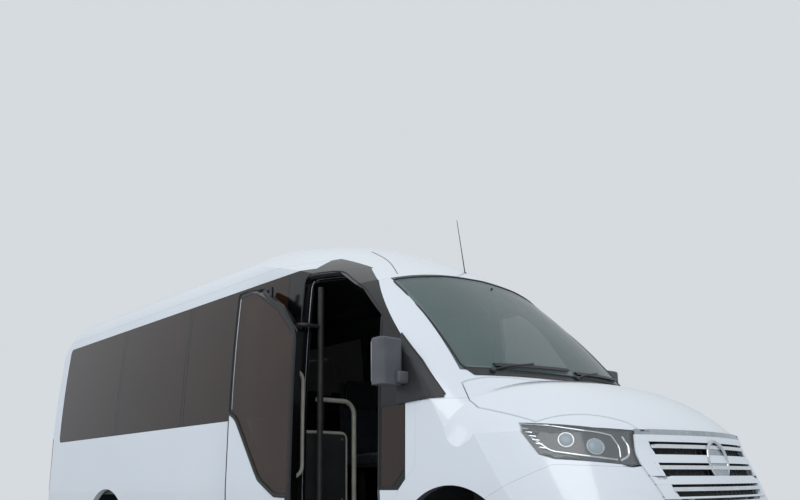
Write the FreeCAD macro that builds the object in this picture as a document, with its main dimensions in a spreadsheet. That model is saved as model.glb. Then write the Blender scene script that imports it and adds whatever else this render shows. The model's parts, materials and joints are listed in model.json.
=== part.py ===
"""High-roof minibus on a large van body, with an outward-swinging entry door.

Millimetres. +X is forward, +Y the driver's side (left), +Z up. The origin lies on the floor
under the middle of the body. A station is a distance behind the front bumper.
"""
import FreeCAD, Part
import math
import os
import Sketcher
from FreeCAD import Placement, Rotation, Vector

os.makedirs("parts", exist_ok=True)
doc = FreeCAD.newDocument("Minibus")

# Driving dimensions: alias, value in mm or degrees, what it is
SIZES = (
    ("body_length", 6967, "front bumper to rear bumper"),
    ("body_width", 2020, "widest, at the rub line"),
    ("roof_height", 2735, "top of the roof crown"),
    ("wheelbase", 4325, "front axle to rear axle"),
    ("front_overhang", 1004, "front bumper to front axle"),
    ("track", 1710, "between the front tyres' centres"),
    ("rear_track", 1500, "between the middles of the rear pairs"),
    ("wall", 50, "whole thickness of a door or side wall"),
    ("bonnet_wall", 24, "bonnet with its inner frame"),
    ("bonnet_rim", 25, "bonnet edge that has no inner frame"),
    ("glass", 6, "pane thickness"),
    ("glass_seat", 0.3, "bond line behind a pane"),
    ("glass_gap", 3, "gap round a pane"),
    ("glass_flange", 28, "width of the flange behind a pane"),
    ("shut_gap", 7, "gap between panels that open"),
    ("seam_gap", 0.8, "gap between fixed panels"),
    ("running_clearance", 0.1, "between a shaft and its bore"),
    ("face_clearance", 0.3, "between faces that pass each other"),
    ("sill_height", 370, "lower edge of the side panels"),
    ("belt_height", 1280, "lower edge of the side glass"),
    ("glass_top", 2255, "upper edge of the side glass"),
    ("gutter_height", 2336, "joint between sides and roof"),
    ("shoulder_radius", 250, "between side and roof"),
    ("grille_top_station", 110, "leading edge of the bonnet"),
    ("grille_top_height", 1060, "leading edge of the bonnet"),
    ("bonnet_rear_station", 860, "rear edge of the bonnet"),
    ("bonnet_rear_height", 1385, "rear edge of the bonnet"),
    ("screen_foot_station", 930, "foot of the windscreen"),
    ("screen_foot_height", 1420, "foot of the windscreen"),
    ("screen_head_station", 1620, "head of the windscreen"),
    ("screen_head_height", 2170, "head of the windscreen"),
    ("roof_front_station", 3100, "where the dome meets the roof"),
    ("tail_round", 600, "length of the rounded roof end"),
    ("arch_radius", 450, "wheel arch"),
    ("arch_lip", 45, "flare round a wheel arch"),
    ("door_front_station", 1256, "shut line between wing and front door"),
    ("door_rear_station", 2330, "shut line at the door post"),
    ("entry_front_station", 1565, "front edge of the entry recess"),
    ("entry_rear_station", 2368, "rear edge of the entry recess"),
    ("entry_top", 2190, "top of the entry recess"),
    ("entry_foot", 380, "foot of the entry leaf"),
    ("entry_front_gap", 6, "leaf to the front of its recess"),
    ("entry_rear_gap", 18, "leaf to the rear of its recess"),
    ("entry_wall", 40, "thickness of the entry leaf"),
    ("entry_inner_side", 866, "inner face of the leaf's front edge from the middle, when shut"),
    ("entry_travel", 665, "how far the leaf moves along the side"),
    ("entry_stand_off", 125, "how far the leaf stands out when open"),
    ("shaft_station", 2295, "entry door shaft"),
    ("shaft_side", 870, "entry door shaft from the middle"),
    ("shaft_radius", 20, "entry door shaft"),
    ("pin_radius", 10, "pin between arm and leaf"),
    ("pin_half", 40, "half the length of that pin"),
    ("arm_radius", 14, "entry door arm"),
    ("arm_pin_side", 1030, "pin between arm and open leaf, from the middle"),
    ("upper_arm_height", 1850, "upper arm of the entry door"),
    ("lower_arm_height", 560, "lower arm of the entry door"),
    ("floor_height", 660, "top of the floor"),
    ("floor_thickness", 40, "floor"),
    ("rail_side", 400, "chassis rail from the middle"),
    ("rail_width", 70, "chassis rail"),
    ("rail_depth", 130, "chassis rail"),
    ("tow_bore_radius", 16, "towing eye's socket"),
    ("rear_floor_side", 945, "edge of the floor from the middle"),
    ("toe_station", 1420, "board ahead of the cab floor"),
    ("dash_foot", 1000, "underside of the dashboard"),
    ("door_pin_station", 1300, "hinge pin of the driver's door"),
    ("door_pin_side", 984, "hinge pin of the driver's door from the middle"),
    ("door_pin_radius", 7, "hinge pin of the driver's door"),
    ("rear_hinge_side", 815, "rear door hinge from the middle"),
    ("rear_hinge_station", 6955, "rear door hinge"),
    ("rear_hinge_radius", 9, "rear door hinge barrel"),
    ("tub_side", 510, "inner wall of a rear wheel tub from the middle"),
    ("tyre_radius", 356, "front and rear tyres"),
    ("tyre_width", 225, "front tyre"),
    ("twin_width", 195, "each rear tyre"),
    ("twin_pitch", 235, "between the rear pair's centres"),
    ("rim_radius", 208, "rim seat"),
    ("rim_well", 180, "inner radius of the rim barrel"),
    ("rim_lip", 10, "height of the rim edge over the seat"),
    ("disc_thickness", 12, "wheel disc"),
    ("hub_radius", 62, "hub"),
    ("spindle_radius", 24, "spindle"),
    ("kingpin_side", 700, "kingpin from the middle"),
    ("kingpin_radius", 26, "kingpin"),
    ("axle_radius", 52, "rear axle tube"),
    ("mirror_side", 1172.5, "outer face of the mirrors from the middle"),
    ("steps_depth", 400, "stairwell behind the entry"),
    ("seat_pitch", 800, "between passenger rows"),
    ("seat_width", 430, "passenger seat"),
    ("rear_door_side", 800, "hinge edge of a rear door from the middle"),
    ("rear_door_top", 2200, "upper edge of the rear doors"),
    ("rear_door_foot", 560, "lower edge of the rear doors"),
)
sheet = doc.addObject("Spreadsheet::Sheet", "Sizes")
for line, (alias, value, note) in enumerate(SIZES, start=1):
    sheet.set("A%d" % line, note)
    sheet.set("B%d" % line, str(value))
    sheet.setAlias("B%d" % line, alias)
doc.recompute()


def size(alias):
    return float(sheet.get(alias))


def total(*terms):
    """A sum of sizes, shares of sizes and plain numbers, as its value and as an expression."""
    value = 0.0
    text = []
    for term in terms:
        share, alias = term if isinstance(term, tuple) else (1.0, term)
        if isinstance(alias, str):
            if alias.startswith("-"):
                share, alias = -share, alias[1:]
            value += share * size(alias)
            text.append("%s %g * Sizes.%s" % ("-" if share < 0 else "+", abs(share), alias))
        else:
            value += alias
            text.append("%s %g" % ("-" if alias < 0 else "+", abs(alias)))
    return value, " ".join(text).lstrip("+ ")


HALF_LENGTH = size("body_length") / 2
HALF_WIDTH = size("body_width") / 2
RIGHT, LEFT = -1, 1
SIDES = (("right", RIGHT), ("left", LEFT))


def at_station(station):
    return HALF_LENGTH - station


FRONT_AXLE = at_station(size("front_overhang"))
REAR_AXLE = FRONT_AXLE - size("wheelbase")
AXLE_HEIGHT = size("tyre_radius")

subparts = []


def publish(label, shape):
    """A sub-part whose surface is cut from the body's own form."""
    feature = doc.addObject("Part::Feature", label)
    feature.Label = label
    feature.Shape = shape
    subparts.append(feature)
    return feature


def keep(label, feature):
    feature.Label = label
    subparts.append(feature)
    return feature


# Outlines: corners, with "through" points that turn two corners into an arc
def grow(points, distance):
    """Moves a closed outline outwards, or inwards where the distance is negative."""
    area = 0
    count = len(points)
    for i in range(count):
        a, b = points[i], points[(i + 1) % count]
        area += a[0] * b[1] - b[0] * a[1]
    turn = 1 if area > 0 else -1
    moved = []
    for i in range(count):
        p, q, r = points[i - 1], points[i], points[(i + 1) % count]
        before = Vector(q[0] - p[0], q[1] - p[1], 0).normalize()
        after = Vector(r[0] - q[0], r[1] - q[1], 0).normalize()
        normal = Vector(before.y + after.y, -before.x - after.x, 0).normalize()
        lean = normal.dot(Vector(before.y, -before.x, 0))
        step = turn * distance / max(lean, 0.4)
        moved.append((q[0] + normal.x * step, q[1] + normal.y * step) + tuple(q[2:]))
    return moved


def outline_wire(points, place):
    """A closed wire; place turns an outline point into a vector."""
    spots = [place(p[0], p[1]) for p in points]
    through = [len(p) > 2 for p in points]
    count = len(points)
    edges = []
    i = 0
    while i < count:
        if through[(i + 1) % count]:
            edges.append(Part.Arc(spots[i], spots[(i + 1) % count], spots[(i + 2) % count]).toShape())
            i += 2
        else:
            edges.append(Part.LineSegment(spots[i], spots[(i + 1) % count]).toShape())
            i += 1
    return Part.Wire(edges)


def prism(points, place, way, radius=0):
    """A closed outline pushed along a vector, with its corners rounded."""
    solid = Part.Face(outline_wire(points, place)).extrude(way)
    if radius:
        unit = Vector(way).normalize()
        corners = []
        for edge in solid.Edges:
            ends = edge.Vertexes
            run = ends[-1].Point - ends[0].Point
            if run.Length > 1 and abs(abs(run.normalize().dot(unit)) - 1) < 1e-6:
                corners.append(edge)
        solid = solid.makeFillet(radius, corners)
    return solid


FAR = 2000


def side_prism(points, side=0, radius=0, low=0, high=FAR):
    """Stations and heights pushed across the body, on one side or on both."""
    if side:
        return prism(points, lambda s, z: Vector(at_station(s), side * low, z),
                     Vector(0, side * (high - low), 0), radius)
    return prism(points, lambda s, z: Vector(at_station(s), -high, z), Vector(0, 2 * high, 0), radius)


def front_prism(points, front, rear, radius=0):
    """Offsets from the middle and heights pushed along the body between two stations."""
    return prism(points, lambda y, z: Vector(at_station(front), y, z), Vector(front - rear, 0, 0), radius)


def top_prism(points, low, high, radius=0):
    """Stations and offsets from the middle pushed upwards between two heights."""
    return prism(points, lambda s, y: Vector(at_station(s), y, low), Vector(0, 0, high - low), radius)


def mirrored(shape):
    return shape.mirror(Vector(0, 0, 0), Vector(0, 1, 0))


def both(shape):
    """A piece and its mirror image on the other side, as one set of solids."""
    return Part.makeCompound([shape, mirrored(shape)])


def solids(shape, least=1e4):
    """The solids of a cut, without slivers."""
    found = [s for s in shape.Solids if s.Volume > least]
    return found[0] if len(found) == 1 else Part.makeCompound(found)


# The body's form: side views at several places across the body, lofted, and then cut by the
# cross-section that gives the sides their lean and the roof its shoulders.
# Columns: offset as a share of the half width, then how far each line of the body
# lies behind, below or inside its place in the middle, in mm
ROWS = (
    # offset, nose back, lamp back, bonnet drop, foot back, foot rise, head back, head drop, crown drop, tail in
    (0.000, 0, 0, 0, 0, 0, 0, 0, 0, 0),
    (0.350, 12, 50, 6, 20, 2, 20, 12, 42, 2),
    (0.615, 60, 150, 35, 80, 10, 80, 45, 128, 10),
    (0.812, 160, 320, 100, 165, 15, 165, 90, 235, 30),
    (0.921, 300, 500, 170, 235, 5, 235, 125, 310, 70),
    (1.020, 600, 850, 300, 340, -10, 340, 170, 400, 200),
)
OPEN_FOOT = 100


def body_profile(row, inset):
    """One side view of the body, as stations and heights."""
    offset, nose, lamp, drop, foot, rise, head, low, crown, tail = row
    length = size("body_length")
    roof = size("roof_height") - crown
    screen_foot = (size("screen_foot_station") + foot, size("screen_foot_height") + rise)
    screen_head = (size("screen_head_station") + head, size("screen_head_height") - low)
    screen_bow = 24
    screen_mid = ((screen_foot[0] + screen_head[0]) / 2 - screen_bow,
                  (screen_foot[1] + screen_head[1]) / 2 + screen_bow, "through")
    tail_run = size("tail_round") - 88
    tail_drop = 230
    tail_radius = (tail_run ** 2 + tail_drop ** 2) / (2 * tail_drop)
    tail_middle = 0.6 * tail_run
    roof_rear = length - 37 - size("tail_round")
    points = [
        (100 + 0.9 * nose, 250),
        (18 + nose, 400),
        (nose, 620),
        (28 + 0.6 * nose + 0.4 * lamp, 780),
        (size("grille_top_station") + lamp, size("grille_top_height")),
        (400 + 0.8 * lamp, 1275 - drop, "through"),
        (size("bonnet_rear_station") + 0.6 * foot, size("bonnet_rear_height") - 1.1 * drop),
        screen_foot,
        screen_mid,
        screen_head,
        (2300 + 0.5 * head, roof - 220 + 0.15 * crown, "through"),
        (size("roof_front_station"), roof - 18),
        (roof_rear, roof),
        (roof_rear + tail_middle - 0.6 * tail,
         roof - tail_radius + math.sqrt(tail_radius ** 2 - tail_middle ** 2), "through"),
        (roof_rear + tail_run - tail, roof - tail_drop),
        (length - 37 - tail, 1400),
        (length - 25 - tail, 560),
        (length - 60 - tail, 330),
    ]
    if inset:
        points = grow(points, -inset)
        points[0] = (points[0][0], OPEN_FOOT)
        points[-1] = (points[-1][0], OPEN_FOOT)
    return points


def side_section(inset):
    """The cross-section that trims the sides, as offsets and heights."""
    top = (HALF_WIDTH - 81.5, 2300)
    lean = math.radians(4)
    end = math.radians(55)
    radius = size("shoulder_radius")
    centre = (top[0] - radius * math.cos(lean), top[1] - radius * math.sin(lean))
    middle = (lean + end) / 2
    crown = (centre[0] + radius * math.cos(end), centre[1] + radius * math.sin(end))
    half = [
        (HALF_WIDTH - 55, 250),
        (HALF_WIDTH - 12, 480),
        (HALF_WIDTH, 780),
        (HALF_WIDTH - 10, size("belt_height")),
        ((HALF_WIDTH - 10 + top[0]) / 2 + 12, (size("belt_height") + top[1]) / 2, "through"),
        top,
        (centre[0] + radius * math.cos(middle), centre[1] + radius * math.sin(middle), "through"),
        crown,
    ]
    apex = (0, crown[1] + crown[0] / math.tan(end))
    other = []
    for point in reversed(half):
        other.append((-point[0], point[1]) + tuple(point[2:]))
    points = half + [apex] + other
    if inset:
        points = grow(points, -inset)
        points[0] = (points[0][0], OPEN_FOOT)
        points[-1] = (points[-1][0], OPEN_FOOT)
    return points


def body_form(inset):
    """The whole outer body, or the space at some depth inside it."""
    wires = []
    rows = [(-row[0],) + row[1:] for row in reversed(ROWS[1:])] + list(ROWS)
    for row in rows:
        offset = row[0] * (HALF_WIDTH - inset)
        wires.append(outline_wire(body_profile(row, inset), lambda s, z: Vector(at_station(s), offset, z)))
    loaf = Part.makeLoft(wires, True, False)
    trim = front_prism(side_section(inset), -200, size("body_length") + 200)
    form = loaf.common(trim)
    return form.Solids[0]


WALL = size("wall")
GLASS = size("glass")
SEAM = size("seam_gap")
SHUT = size("shut_gap")
outer = body_form(0)
behind_glass = body_form(GLASS)
behind_seat = body_form(GLASS + size("glass_seat"))
cabin = body_form(WALL)
wall_shell = outer.cut(cabin)
glass_shell = outer.cut(behind_glass)
seat_shell = outer.cut(behind_seat)


def region(points, side=0, radius=0, less=SEAM / 2):
    """What a panel's side outline covers, drawn in by half a gap."""
    return side_prism(grow(points, -less), side, radius)


def glazed(panel, outlines, side, radius, maker=side_prism):
    """Cuts seats and openings for panes in a panel; returns the panel and its panes."""
    panes = []
    for outline in outlines:
        def shape(distance, r):
            grown = grow(outline, distance)
            return maker(grown, side, r) if maker is side_prism else maker(grown, r)
        flange = size("glass_flange")
        panes.append(glass_shell.common(shape(0, radius)))
        panel = panel.cut(seat_shell.common(shape(size("glass_gap"), radius + size("glass_gap"))))
        panel = panel.cut(shape(-flange, max(radius - flange, 8)))
    return panel, panes


# Wheel arches
def arch(axle, radius, side=0, depth=FAR):
    start = Vector(axle, 0 if side else -depth, AXLE_HEIGHT)
    if side:
        return Part.makeCylinder(radius, depth, start, Vector(0, side, 0))
    return Part.makeCylinder(radius, 2 * depth, start, Vector(0, 1, 0))


arches = arch(FRONT_AXLE, size("arch_radius")).fuse(arch(REAR_AXLE, size("arch_radius")))
sill = size("sill_height")
belt = size("belt_height")
gutter = size("gutter_height")
door_front = size("door_front_station")
door_rear = size("door_rear_station")
REAR_PILLAR_DEPTH = 240
tail_edge = size("body_length") - REAR_PILLAR_DEPTH

# Lines that several panels share, as stations and heights
HEADER_FRONT = (1500, 2262)
HEADER_REAR = (1780, 2066)
PILLAR_TOP = (1769, 2074)
CANTRAIL = (1960, 2215)
PILLAR_FOOT = (door_front, 1480)
WING_TOP = 1262
DOOR_TURN = [(1535, sill + 60), (1500, 630), (1388, 790), (door_front, 920)]

roof_outline = [(1300, 2402), HEADER_FRONT, PILLAR_TOP, CANTRAIL, (door_rear, CANTRAIL[1]),
                (door_rear, gutter), (size("body_length") + 50, gutter), (size("body_length") + 50, 3000),
                (1300, 3000)]
door_outline = DOOR_TURN + [PILLAR_FOOT, PILLAR_TOP, CANTRAIL, (door_rear, CANTRAIL[1]),
                            (door_rear, sill + 60)]
side_outline = [(door_rear, sill), (tail_edge, sill), (tail_edge, gutter), (door_rear, gutter)]
bonnet_plan = [(60, 0), (130, 460), (250, 520), (560, 845), (900, 885), (1045, 850), (990, 700), (895, 450),
               (853, 0, "through"), (895, -450), (990, -700), (1045, -850), (900, -885), (560, -845),
               (250, -520), (130, -460)]
lamp_front = [(505, 900), (455, 1052), (700, 1072), (1100, 1150), (1100, 950), (620, 885)]
lamp_side = [(-100, 850), (380, 905), (500, 945), (655, 1125), (400, 1105), (-100, 1040)]
grille_front = [(-455, 1046), (455, 1046), (508, 892), (412, 715), (-412, 715), (-508, 892)]
bumper_front = [(-1200, 200), (1200, 200), (1200, 915), (620, 878), (508, 892), (412, 715),
                (-412, 715), (-508, 892), (-620, 878), (-1200, 915)]
bumper_side = [(-100, 200), (760, 200), (760, 745), (383, 918), (-100, 960)]
BONNET_FOOT = 1030
BONNET_LIP = 1063
BONNET_CEILING = 1700
NOSE = -100

# Bonnet
bonnet_cut = top_prism(grow(bonnet_plan, SHUT / 2), BONNET_FOOT, BONNET_CEILING)
bonnet_region = top_prism(grow(bonnet_plan, -SHUT / 2), BONNET_FOOT, BONNET_CEILING)
above_grille = side_prism([(NOSE, BONNET_LIP), (300, BONNET_LIP), (500, 1100), (1200, 1100),
                           (1200, BONNET_CEILING), (NOSE, BONNET_CEILING)])
nose_wall = wall_shell.common(side_prism([(NOSE, 0), (2400, 0), (2400, 3000), (NOSE, 3000)]))
frame_region = top_prism(grow(bonnet_plan, -SHUT / 2 - size("bonnet_rim")), 0, BONNET_CEILING)
bonnet = outer.common(bonnet_region).common(above_grille)
bonnet_rim = behind_glass.common(bonnet_region).cut(frame_region)
bonnet = bonnet.cut(bonnet_rim).cut(body_form(size("bonnet_wall")))
publish("bonnet", solids(bonnet))


def lamp_region(side, distance):
    front = grow([(side * y, z) for y, z in lamp_front], distance)
    return front_prism(front, NOSE, 900).common(side_prism(grow(lamp_side, distance)))


# Headlamps
right_lamp = solids(nose_wall.common(lamp_region(RIGHT, -1)).cut(bonnet_cut))
publish("headlamps", both(right_lamp))
lamp_cut = lamp_region(RIGHT, SEAM - 1).fuse(lamp_region(LEFT, SEAM - 1))


def bumper_space(distance):
    return front_prism(grow(bumper_front, distance), NOSE, 800).common(side_prism(grow(bumper_side, distance)))


# Front bumper with its lower air intake and the towing eye's hole
TOW_SIDE = -520
TOW_HEIGHT = 470
intake = front_prism([(-430, 420), (430, 420), (400, 560), (-400, 560)], NOSE, 400, 30)
tow_hole = Part.makeCylinder(32, 500, Vector(at_station(400), TOW_SIDE, TOW_HEIGHT), Vector(1, 0, 0))
bumper = nose_wall.common(bumper_space(-SEAM / 2)).cut(arches).cut(lamp_cut).cut(intake).cut(tow_hole)
publish("front_bumper", solids(bumper))

# Grille: a frame in body colour with fins over the openings
GRILLE_FINS = 3
FIN_PITCH = 88
FIN_HEIGHT = 46
GRILLE_TOP = 1026
GRILLE_FOOT = 738
GRILLE_REACH = 430
GRILLE_LEAN = 0.176
grille = nose_wall.common(front_prism(grow(grille_front, -SEAM / 2), NOSE, 400)).cut(bonnet_cut).cut(lamp_cut)
for i in range(GRILLE_FINS + 1):
    high = GRILLE_TOP - i * FIN_PITCH
    low = max(high - (FIN_PITCH - FIN_HEIGHT), GRILLE_FOOT)
    wide = GRILLE_REACH - (GRILLE_TOP - high) * GRILLE_LEAN
    narrow = GRILLE_REACH - (GRILLE_TOP - low) * GRILLE_LEAN
    slot = [(-wide, high), (wide, high), (narrow, low), (-narrow, low)]
    if high > low:
        grille = grille.cut(front_prism(slot, NOSE, 400))
BUFFER_STATION = 178
BUFFER_SIDE = 300
BUFFER_FOOT = 1000
for side in (RIGHT, LEFT):
    foot = Vector(at_station(BUFFER_STATION), side * BUFFER_SIDE, BUFFER_FOOT)
    buffer = Part.makeCylinder(12, BONNET_LIP - size("face_clearance") - BUFFER_FOOT, foot)
    grille = grille.fuse(buffer)
publish("grille", solids(grille))

# Wings
wing_outline = [(200, sill), (1535, sill)] + DOOR_TURN + [(door_front, WING_TOP), (200, WING_TOP)]
wing = nose_wall.common(region(wing_outline, RIGHT)).cut(arches).cut(bonnet_cut).cut(lamp_cut)
wing = wing.cut(bumper_space(SEAM / 2)).cut(front_prism(grow(grille_front, SEAM / 2), NOSE, 400))
wing = max(wing.Solids, key=lambda solid: solid.Volume)
BARREL_FOOT = 840
BARREL_TOP = 914
pin_foot = Vector(at_station(size("door_pin_station")), size("door_pin_side"), BARREL_FOOT)
door_pin = Part.makeCylinder(size("door_pin_radius"), 170, pin_foot)
door_barrel = Part.makeCylinder(18, BARREL_TOP - BARREL_FOOT, pin_foot)
publish("wings", Part.makeCompound([wing, mirrored(wing).fuse([door_pin, door_barrel])]))

# Windscreen and the frame of scuttle and pillars round it
screen_front = [(-812, 1434), (812, 1434), (712, 2300), (-712, 2300)]
screen_side = [(500, 1434), (1500, 1434), (1850, 2010), HEADER_REAR, HEADER_FRONT, (500, 2962)]


def screen_space(distance):
    front = front_prism(grow(screen_front, distance), 500, 2000)
    return front.common(side_prism(grow(screen_side, distance)))


publish("windscreen", solids(glass_shell.common(screen_space(0)), 1e3))
screen_seat = seat_shell.common(screen_space(size("glass_gap"))).fuse(screen_space(-size("glass_flange")))
frame_outline = [(780, WING_TOP), (door_front, WING_TOP), PILLAR_FOOT, PILLAR_TOP, HEADER_FRONT, (780, 2766)]
frame = nose_wall.common(region(frame_outline)).cut(bonnet_cut).cut(screen_seat)
publish("front_frame", solids(frame, 1e5))

# Roof
roof = wall_shell.common(region(roof_outline)).cut(screen_seat)
publish("roof", solids(roof, 1e6))

# Driver's door
DOOR_PANE = [(1440, 1300), (1440, 1440), (1880, 2080), (1990, 2160), (2270, 2160), (2270, 1300)]
DOOR_INSET = SHUT - SEAM / 2
driver_door = nose_wall.common(region(door_outline, LEFT, 0, DOOR_INSET))
hinge_station = size("door_pin_station")
hinge_foot = Vector(at_station(hinge_station), size("door_pin_side"), 0)
edge_reach = hinge_station - door_front - 5
edge_block = side_prism([(1200, 800), (hinge_station, 800), (hinge_station, 1500), (1200, 1500)], LEFT)
driver_door = driver_door.cut(edge_block.cut(Part.makeCylinder(edge_reach, FAR, hinge_foot)))
barrel_space = side_prism([(1200, 780), (1388, 780), (1388, 800), (1340, 858), (1326, 872),
                           (1326, BARREL_TOP + 8), (1200, BARREL_TOP + 8)], LEFT)
driver_door = driver_door.cut(barrel_space)
driver_door = driver_door.cut(Part.makeCylinder(size("door_pin_radius") + size("face_clearance"), 1010 + size(
    "face_clearance"), hinge_foot))
driver_door, driver_panes = glazed(driver_door, [DOOR_PANE], LEFT, 30)
publish("driver_door", solids(driver_door, 1e6))
publish("driver_door_glass", solids(driver_panes[0], 1e3))
sill_outline = [(1535, sill), (door_rear, sill), (door_rear, sill + 60), (1535, sill + 60)]
publish("sill_left", solids(nose_wall.common(region(sill_outline, LEFT))))

# Entry leaf, made where it closes, then moved out along the side
entry_foot = size("entry_foot")
leaf_front = size("entry_front_station") + size("entry_front_gap")
leaf_rear = size("entry_rear_station") - size("entry_rear_gap")
leaf_top = size("entry_top") - size("entry_front_gap")
leaf_outline = [(leaf_front, entry_foot), (leaf_rear, entry_foot), (leaf_rear, leaf_top),
                (2100, leaf_top), (1790, 2000), (leaf_front, 1790)]
leaf_rim = 45
leaf_pane = [(leaf_front + leaf_rim, 760), (1737, 770), (1936, 875), (2243, 1290), (leaf_rear - leaf_rim, 1330)]
leaf_pane += grow(leaf_outline, -leaf_rim)[2:]
opened = Vector(-size("entry_travel"), -size("entry_stand_off"), 0)
leaf = outer.common(side_prism(leaf_outline, RIGHT, 18, size("entry_inner_side")))
leaf = leaf.cut(front_prism(side_section(size("entry_wall")), 1400, 2500))
leaf, leaf_panes = glazed(leaf, [leaf_pane], RIGHT, 20)
leaf = solids(leaf, 1e5)
leaf.translate(opened)

# The arm's pin between shaft and leaf, from the two places that the leaf takes
travel = size("entry_travel")
stand_off = size("entry_stand_off")
pin_side = size("arm_pin_side")
shaft_side = size("shaft_side")
reach_open = (travel ** 2 + (pin_side - stand_off - shaft_side) ** 2 - (pin_side - shaft_side) ** 2) / (2 * travel)
pin_station = size("shaft_station") + reach_open
ARM_HEIGHTS = [size("lower_arm_height"), size("upper_arm_height")]
PLATE = 20
plate_low = size("arm_radius") + 2
web_side = pin_side - stand_off + plate_low + 4


def on_leaf(length, near, far, low, high):
    """A block behind the leaf, from its distances to the middle when the door is shut."""
    station = pin_station - travel + length / 2
    part = Part.makeBox(length, far - near, high - low, Vector(at_station(station), -far, low))
    part.translate(opened)
    return part


brackets = [on_leaf(30, web_side, web_side + 15, ARM_HEIGHTS[1] - plate_low - PLATE, leaf_top - 30)]
for z, far in zip(ARM_HEIGHTS, (975, web_side + 15)):
    for low in (z + plate_low, z - plate_low - PLATE):
        brackets.append(on_leaf(44, pin_side - stand_off - 20, far, low, low + PLATE))
leaf = leaf.fuse(brackets)
for z in ARM_HEIGHTS:
    leaf = leaf.cut(Part.makeCylinder(size("pin_radius") + size("face_clearance"), 120,
                                      Vector(at_station(pin_station), -pin_side, z - 60)))
leaf = solids(leaf, 1e5)
leaf_glass = solids(leaf_panes[0], 1e3)
leaf_glass.translate(opened)

recess_outline = [(leaf_front - size("entry_front_gap"), sill - 20),
                  (leaf_rear + size("entry_rear_gap"), sill - 20),
                  (leaf_rear + size("entry_rear_gap"), leaf_top + 6),
                  (2098, leaf_top + 6), (1786, 2006), (leaf_front - size("entry_front_gap"), 1794)]
recess = side_prism(recess_outline, RIGHT, 18).cut(body_form(size("entry_wall") + 4))
doorway_outline = grow(recess_outline, -38)
doorway_outline[:2] = [(s, sill - 40) for s, z in doorway_outline[:2]]
doorway = side_prism(doorway_outline, RIGHT, 18)

# Fixed surround ahead of and over the entry, with its panes
surround = nose_wall.common(region(door_outline, RIGHT)).cut(recess).cut(doorway)
FIXED_PANES = [[(1442, 800), (1535, 800), (1535, 1250), (1345, 1250), (1345, 896)]]
surround, fixed_panes = glazed(surround, FIXED_PANES, RIGHT, 12)
publish("entry_surround", solids(surround, 1e5))
publish("fixed_pane", solids(fixed_panes[0], 1e3))
publish("entry_door", leaf)
publish("entry_door_glass", leaf_glass)

# Side panels with their windows: front and rear station of each pane
PANES = ((2560, 3925), (3975, 5190), (5240, 6600))
glass_top = size("glass_top")
rear_wall = wall_shell.common(side_prism([(door_rear - 20, 0), (7100, 0), (7100, gutter + 50),
                                          (door_rear - 20, gutter + 50)]))
side_wall = rear_wall.common(region(side_outline, RIGHT)).cut(arches)
outlines = [[(front, belt + 6), (rear, belt + 6), (rear, glass_top), (front, glass_top)]
            for front, rear in PANES]
side_wall, side_panes = glazed(side_wall, outlines, RIGHT, 45)
publish("side_left", solids(mirrored(side_wall), 1e6))
publish("side_right", solids(side_wall.cut(recess).cut(doorway), 1e6))
right_glass = [solids(pane, 1e3) for pane in side_panes]
publish("side_glass", Part.makeCompound(right_glass + [mirrored(pane) for pane in right_glass]))

# Rear frame and doors
rear_side = size("rear_door_side")
rear_top = size("rear_door_top")
rear_foot = size("rear_door_foot")
tail_front = tail_edge - 150
tail_rear = size("body_length") + 100
rear_opening = [(-rear_side, rear_foot), (rear_side, rear_foot), (rear_side, rear_top), (-rear_side, rear_top)]
rear_frame = rear_wall.common(region([(tail_edge, sill), (tail_rear, sill), (tail_rear, gutter),
                                      (tail_edge, gutter)]))
rear_frame = rear_frame.cut(front_prism(grow(rear_opening, SHUT), tail_front, tail_rear))
STEP_SIDE = 960
STEP_TOP = rear_foot - 30
step_side = STEP_SIDE + size("face_clearance")
step_top = STEP_TOP + size("face_clearance")
step_space = [(-step_side, 200), (step_side, 200), (step_side, step_top), (-step_side, step_top)]
rear_frame = rear_frame.cut(front_prism(step_space, tail_front, tail_rear))
LAMP_SIDES = (1200, 850)
LAMP_HEIGHTS = (800, 1330)
tail_lamp_outline = [(LAMP_SIDES[1], LAMP_HEIGHTS[0]), (LAMP_SIDES[0], LAMP_HEIGHTS[0]),
                     (LAMP_SIDES[0], LAMP_HEIGHTS[1]), (LAMP_SIDES[1], LAMP_HEIGHTS[1])]


def tail_lamp_space(side, distance):
    front = [(side * y, z) for y, z in grow(tail_lamp_outline, distance)]
    return front_prism(front, tail_edge + 45 - distance, tail_rear)


right_tail_lamp = solids(rear_wall.common(tail_lamp_space(RIGHT, -SEAM / 2)), 1e3)
publish("tail_lamps", both(right_tail_lamp))
rear_frame = rear_frame.cut(tail_lamp_space(RIGHT, SEAM / 2)).cut(tail_lamp_space(LEFT, SEAM / 2))

# Hinges of the rear doors: height, and the station at which the straps enter the panel
REAR_HINGES = ((720, 6872), (1700, 6842))
BARREL = 30
hinge_side = size("rear_hinge_side")
hinge_station_rear = size("rear_hinge_station")
hinge_radius = size("rear_hinge_radius")


def strap(front, near, far, low):
    """A strap on the right, from a station to the barrel and between two offsets."""
    return Part.makeBox(hinge_station_rear - front, far - near, BARREL,
                        Vector(at_station(hinge_station_rear), -far, low))


def barrel(low):
    return Part.makeCylinder(hinge_radius, BARREL, Vector(at_station(hinge_station_rear), -hinge_side, low))


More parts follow.
